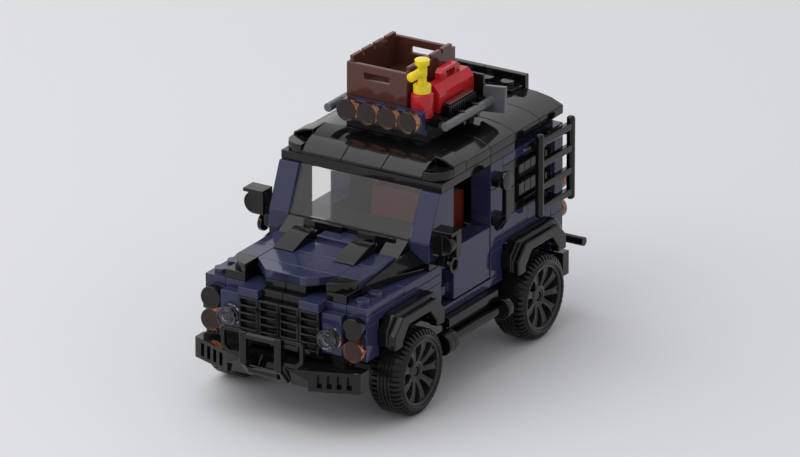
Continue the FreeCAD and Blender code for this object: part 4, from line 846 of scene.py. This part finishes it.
lots = []
for side in (1, -1):
    rows = sorted(side * row for row in POST_ROWS)
    lots.append(mm_box((POST_ENDS[0], rows[0], POST_LEVELS[0]), (POST_ENDS[1], rows[1], POST_LEVELS[1])))
    leg = [(x * MM - FORE_SHIFT, level * MM) for x, level in LEG]
    lots.append(extrude(leg, "Y", (rows[0] + LEG_INSET) * MM, (rows[1] - LEG_INSET) * MM))
    lots.append(hoop(side))
hoops = joined(lots)
soften(hoops, BULL_BAR_EDGE)
rails = [lathe(in_mm(RAIL), "Y", mm_spot(*RAIL_SPOT), BAR_STEPS),
         lathe(in_mm(CROSS), "Y", mm_spot(*CROSS_SPOT), BAR_STEPS)]
dress(shape_object("bull_bar_moulded", joined([hoops] + rails)), "bull_bar")

# Tool upright beside the door: a flat shaft with a slanting foot, a round head, and its two clips
TOOL_ENDS, TOOL_ROWS, TOOL_LEVELS = (-19.6, -16.1), (36.3, 38.1), (51, 65)
TOOL_FOOT = [(38.1, 52.4), (36.3, 52.4), (33.2, 49.4), (33.2, 47.2), (34.6, 46.6)]
TOOL_HEAD = [(0, 0.6), (3.1, 0.6), (3.3, 0.8), (3.3, 2.2), (3.1, 2.4), (0, 2.4)]
TOOL_HEAD_SPOT = (-17, 36, 65.5)
TOOL_CLIP_ENDS, TOOL_CLIP_ROWS, TOOL_CLIP_LEVELS = (-2.9, -2.05), (4.006, 4.35), ((15.02, 16), (19.5, 20.5))
lots = [box(grid(TOOL_CLIP_ENDS[0], TOOL_CLIP_ROWS[0], low),
            grid(TOOL_CLIP_ENDS[1], TOOL_CLIP_ROWS[1], high)) for low, high in TOOL_CLIP_LEVELS]
lots.append(mm_box((TOOL_ENDS[0], TOOL_ROWS[0], TOOL_LEVELS[0]),
                   (TOOL_ENDS[1], TOOL_ROWS[1], TOOL_LEVELS[1])))
lots.append(extrude(in_mm(TOOL_FOOT), "X", TOOL_ENDS[0] * MM - FORE_SHIFT, TOOL_ENDS[1] * MM - FORE_SHIFT))
tool = joined(lots)
soften(tool, STOUT_EDGE)
head = lathe(in_mm(TOOL_HEAD), "Y", mm_spot(*TOOL_HEAD_SPOT), RING_STEPS)
dress(shape_object("side_tool_moulded", joined([tool, head])), "side_tool")

# Slopes along the hood's edges; each section is its place along, the crest's level and the foot's row
SLOPE_SECTIONS = ((3.01, 16.05, 3.8), (4.2, 15.8, 3.6), (5.6, 15.4, 3.3), (6.6, 15.12, 3.05))
SLOPE_ROW, SLOPE_FOOT = 3.005, 14.9
CREST_WIDTH = 0.8 * MM
slopes = []
for side in (1, -1):
    sections = []
    for x_place, level, row in SLOPE_SECTIONS:
        inner, foot = grid(x_place, side * SLOPE_ROW, SLOPE_FOOT), grid(x_place, side * row, SLOPE_FOOT)
        crest = grid(x_place, 0, level).z
        sections.append([(inner.x, inner.y, inner.z), (inner.x, foot.y, inner.z),
                         (inner.x, inner.y + side * CREST_WIDTH, crest), (inner.x, inner.y, crest)])
    slopes.append(loft(sections))
added("hood_edge_slopes", "hood_base", joined(slopes), BRICK_EDGE)

# Wiper blades at the foot of the screen
WIPER_BLADES = ((-2.1, -0.2), (0.6, 2.4))
WIPER_SECTION = ((3.12, 16.2), (3.3, 16.2), (3.24, 17.1), (3.06, 17.1))
wipers = [loft([[grid(x_place, row, level) for x_place, level in WIPER_SECTION] for row in rows])
          for rows in WIPER_BLADES]
added("wiper_blades", "wipers", joined(wipers), THIN_EDGE)

# Seats, in a darker red than the bottle, and every node that needs no more than its rounded edges
seat_piece = moulded("seats", merged("seats"))
seat_piece.data.materials[0] = SEAT_FINISH
for node in frame["nodes"]:
    if node not in DRESSED:
        moulded(node, merged(node))


# The studio: floor, world, lamps and camera

AZIMUTH = math.radians(121.625)
ELEVATION = math.radians(21.464)
BACK = Vector((math.sin(AZIMUTH) * math.cos(ELEVATION), -math.cos(AZIMUTH) * math.cos(ELEVATION),
               math.sin(ELEVATION)))
RIGHT = Vector((math.cos(AZIMUTH), math.sin(AZIMUTH), 0))
LIFT = BACK.cross(RIGHT)
DISTANCE = 3500 * MM
PIXELS_PER_MM = 2.939
FRAME_WIDTH = 800                        # pixels
SENSOR_WIDTH = 36                        # millimetres
AIM_LEVEL = 45 * MM
AIM_RIGHT, AIM_UP = 4.818, 0.886         # millimetres in the picture, from the middle of the grid
FLOOR_REACH = 6.0


def pale_floor():
    """A wide pale floor that keeps the object's shadow."""
    shape = bmesh.new()
    bmesh.ops.create_grid(shape, x_segments=1, y_segments=1, size=FLOOR_REACH)
    floor = shape_object("floor", shape)
    material, tree, shader = bare_material("pale_floor")
    for label, value in (("Base Color", (0.69, 0.692, 0.71, 1.0)), ("Roughness", 0.75),
                         ("Specular IOR Level", 0.2)):
        shader.inputs[label].default_value = value
    floor.data.materials.append(material)


def studio_world():
    """An even pale studio that is brighter low down behind the object, where its top faces mirror it."""
    world = bpy.data.worlds.new("studio")
    world.use_nodes = True
    tree = world.node_tree
    background = tree.nodes["Background"]
    background.inputs["Color"].default_value = (0.945, 0.95, 0.975, 1.0)
    place = tree.nodes.new("ShaderNodeTexCoord")
    toward = tree.nodes.new("ShaderNodeVectorMath")
    toward.operation = "DOT_PRODUCT"
    toward.inputs[1].default_value = (-BACK.x, -BACK.y, BACK.z)
    tree.links.new(place.outputs["Generated"], toward.inputs[0])
    spread = tree.nodes.new("ShaderNodeMapRange")
    spread.interpolation_type = "SMOOTHSTEP"
    for label, value in (("From Min", 0.7), ("From Max", 0.92), ("To Min", 0.62), ("To Max", 1.0)):
        spread.inputs[label].default_value = value
    tree.links.new(toward.outputs["Value"], spread.inputs["Value"])
    tree.links.new(spread.outputs["Result"], background.inputs["Strength"])
    bpy.context.scene.world = world


def soft_lamp(name, place, target, size, power):
    """A square lamp at a place, facing a target."""
    lamp = bpy.data.lights.new(name, "AREA")
    lamp.shape = "RECTANGLE"
    lamp.size = size
    lamp.size_y = size
    lamp.energy = power
    holder = bpy.data.objects.new(name, lamp)
    holder.location = place
    holder.rotation_mode = "QUATERNION"
    holder.rotation_quaternion = (Vector(target) - Vector(place)).to_track_quat("-Z", "Y")
    bpy.context.scene.collection.objects.link(holder)


def photo_camera():
    """A long lens at the photograph's angle, with the object as large and as far over as there."""
    camera = bpy.data.cameras.new("photo_camera")
    camera.sensor_width = SENSOR_WIDTH
    camera.lens = PIXELS_PER_MM / MM * DISTANCE * camera.sensor_width / FRAME_WIDTH
    camera.clip_start = 0.5
    camera.clip_end = 50
    holder = bpy.data.objects.new("photo_camera", camera)
    middle = Vector((-FORE_SHIFT, 0, AIM_LEVEL)) + RIGHT * AIM_RIGHT * MM + LIFT * AIM_UP * MM
    holder.location = middle + BACK * DISTANCE
    holder.rotation_mode = "QUATERNION"
    holder.rotation_quaternion = BACK.to_track_quat("Z", "Y")
    bpy.context.scene.collection.objects.link(holder)
    bpy.context.scene.camera = holder


pale_floor()
studio_world()
soft_lamp("overhead", place=(0.2, -0.6, 1.2), target=(0, 0, 0.04), size=1.6, power=10.0)
soft_lamp("front_fill", place=(1.0, -0.2, 1.1), target=(0, 0, 0.04), size=0.5, power=1.6)
soft_lamp("side_card", place=(1.16, -0.73, 0.65), target=(0, 0, 0.06), size=0.9, power=1.4)
photo_camera()
bpy.context.scene.view_settings.view_transform = "Standard"
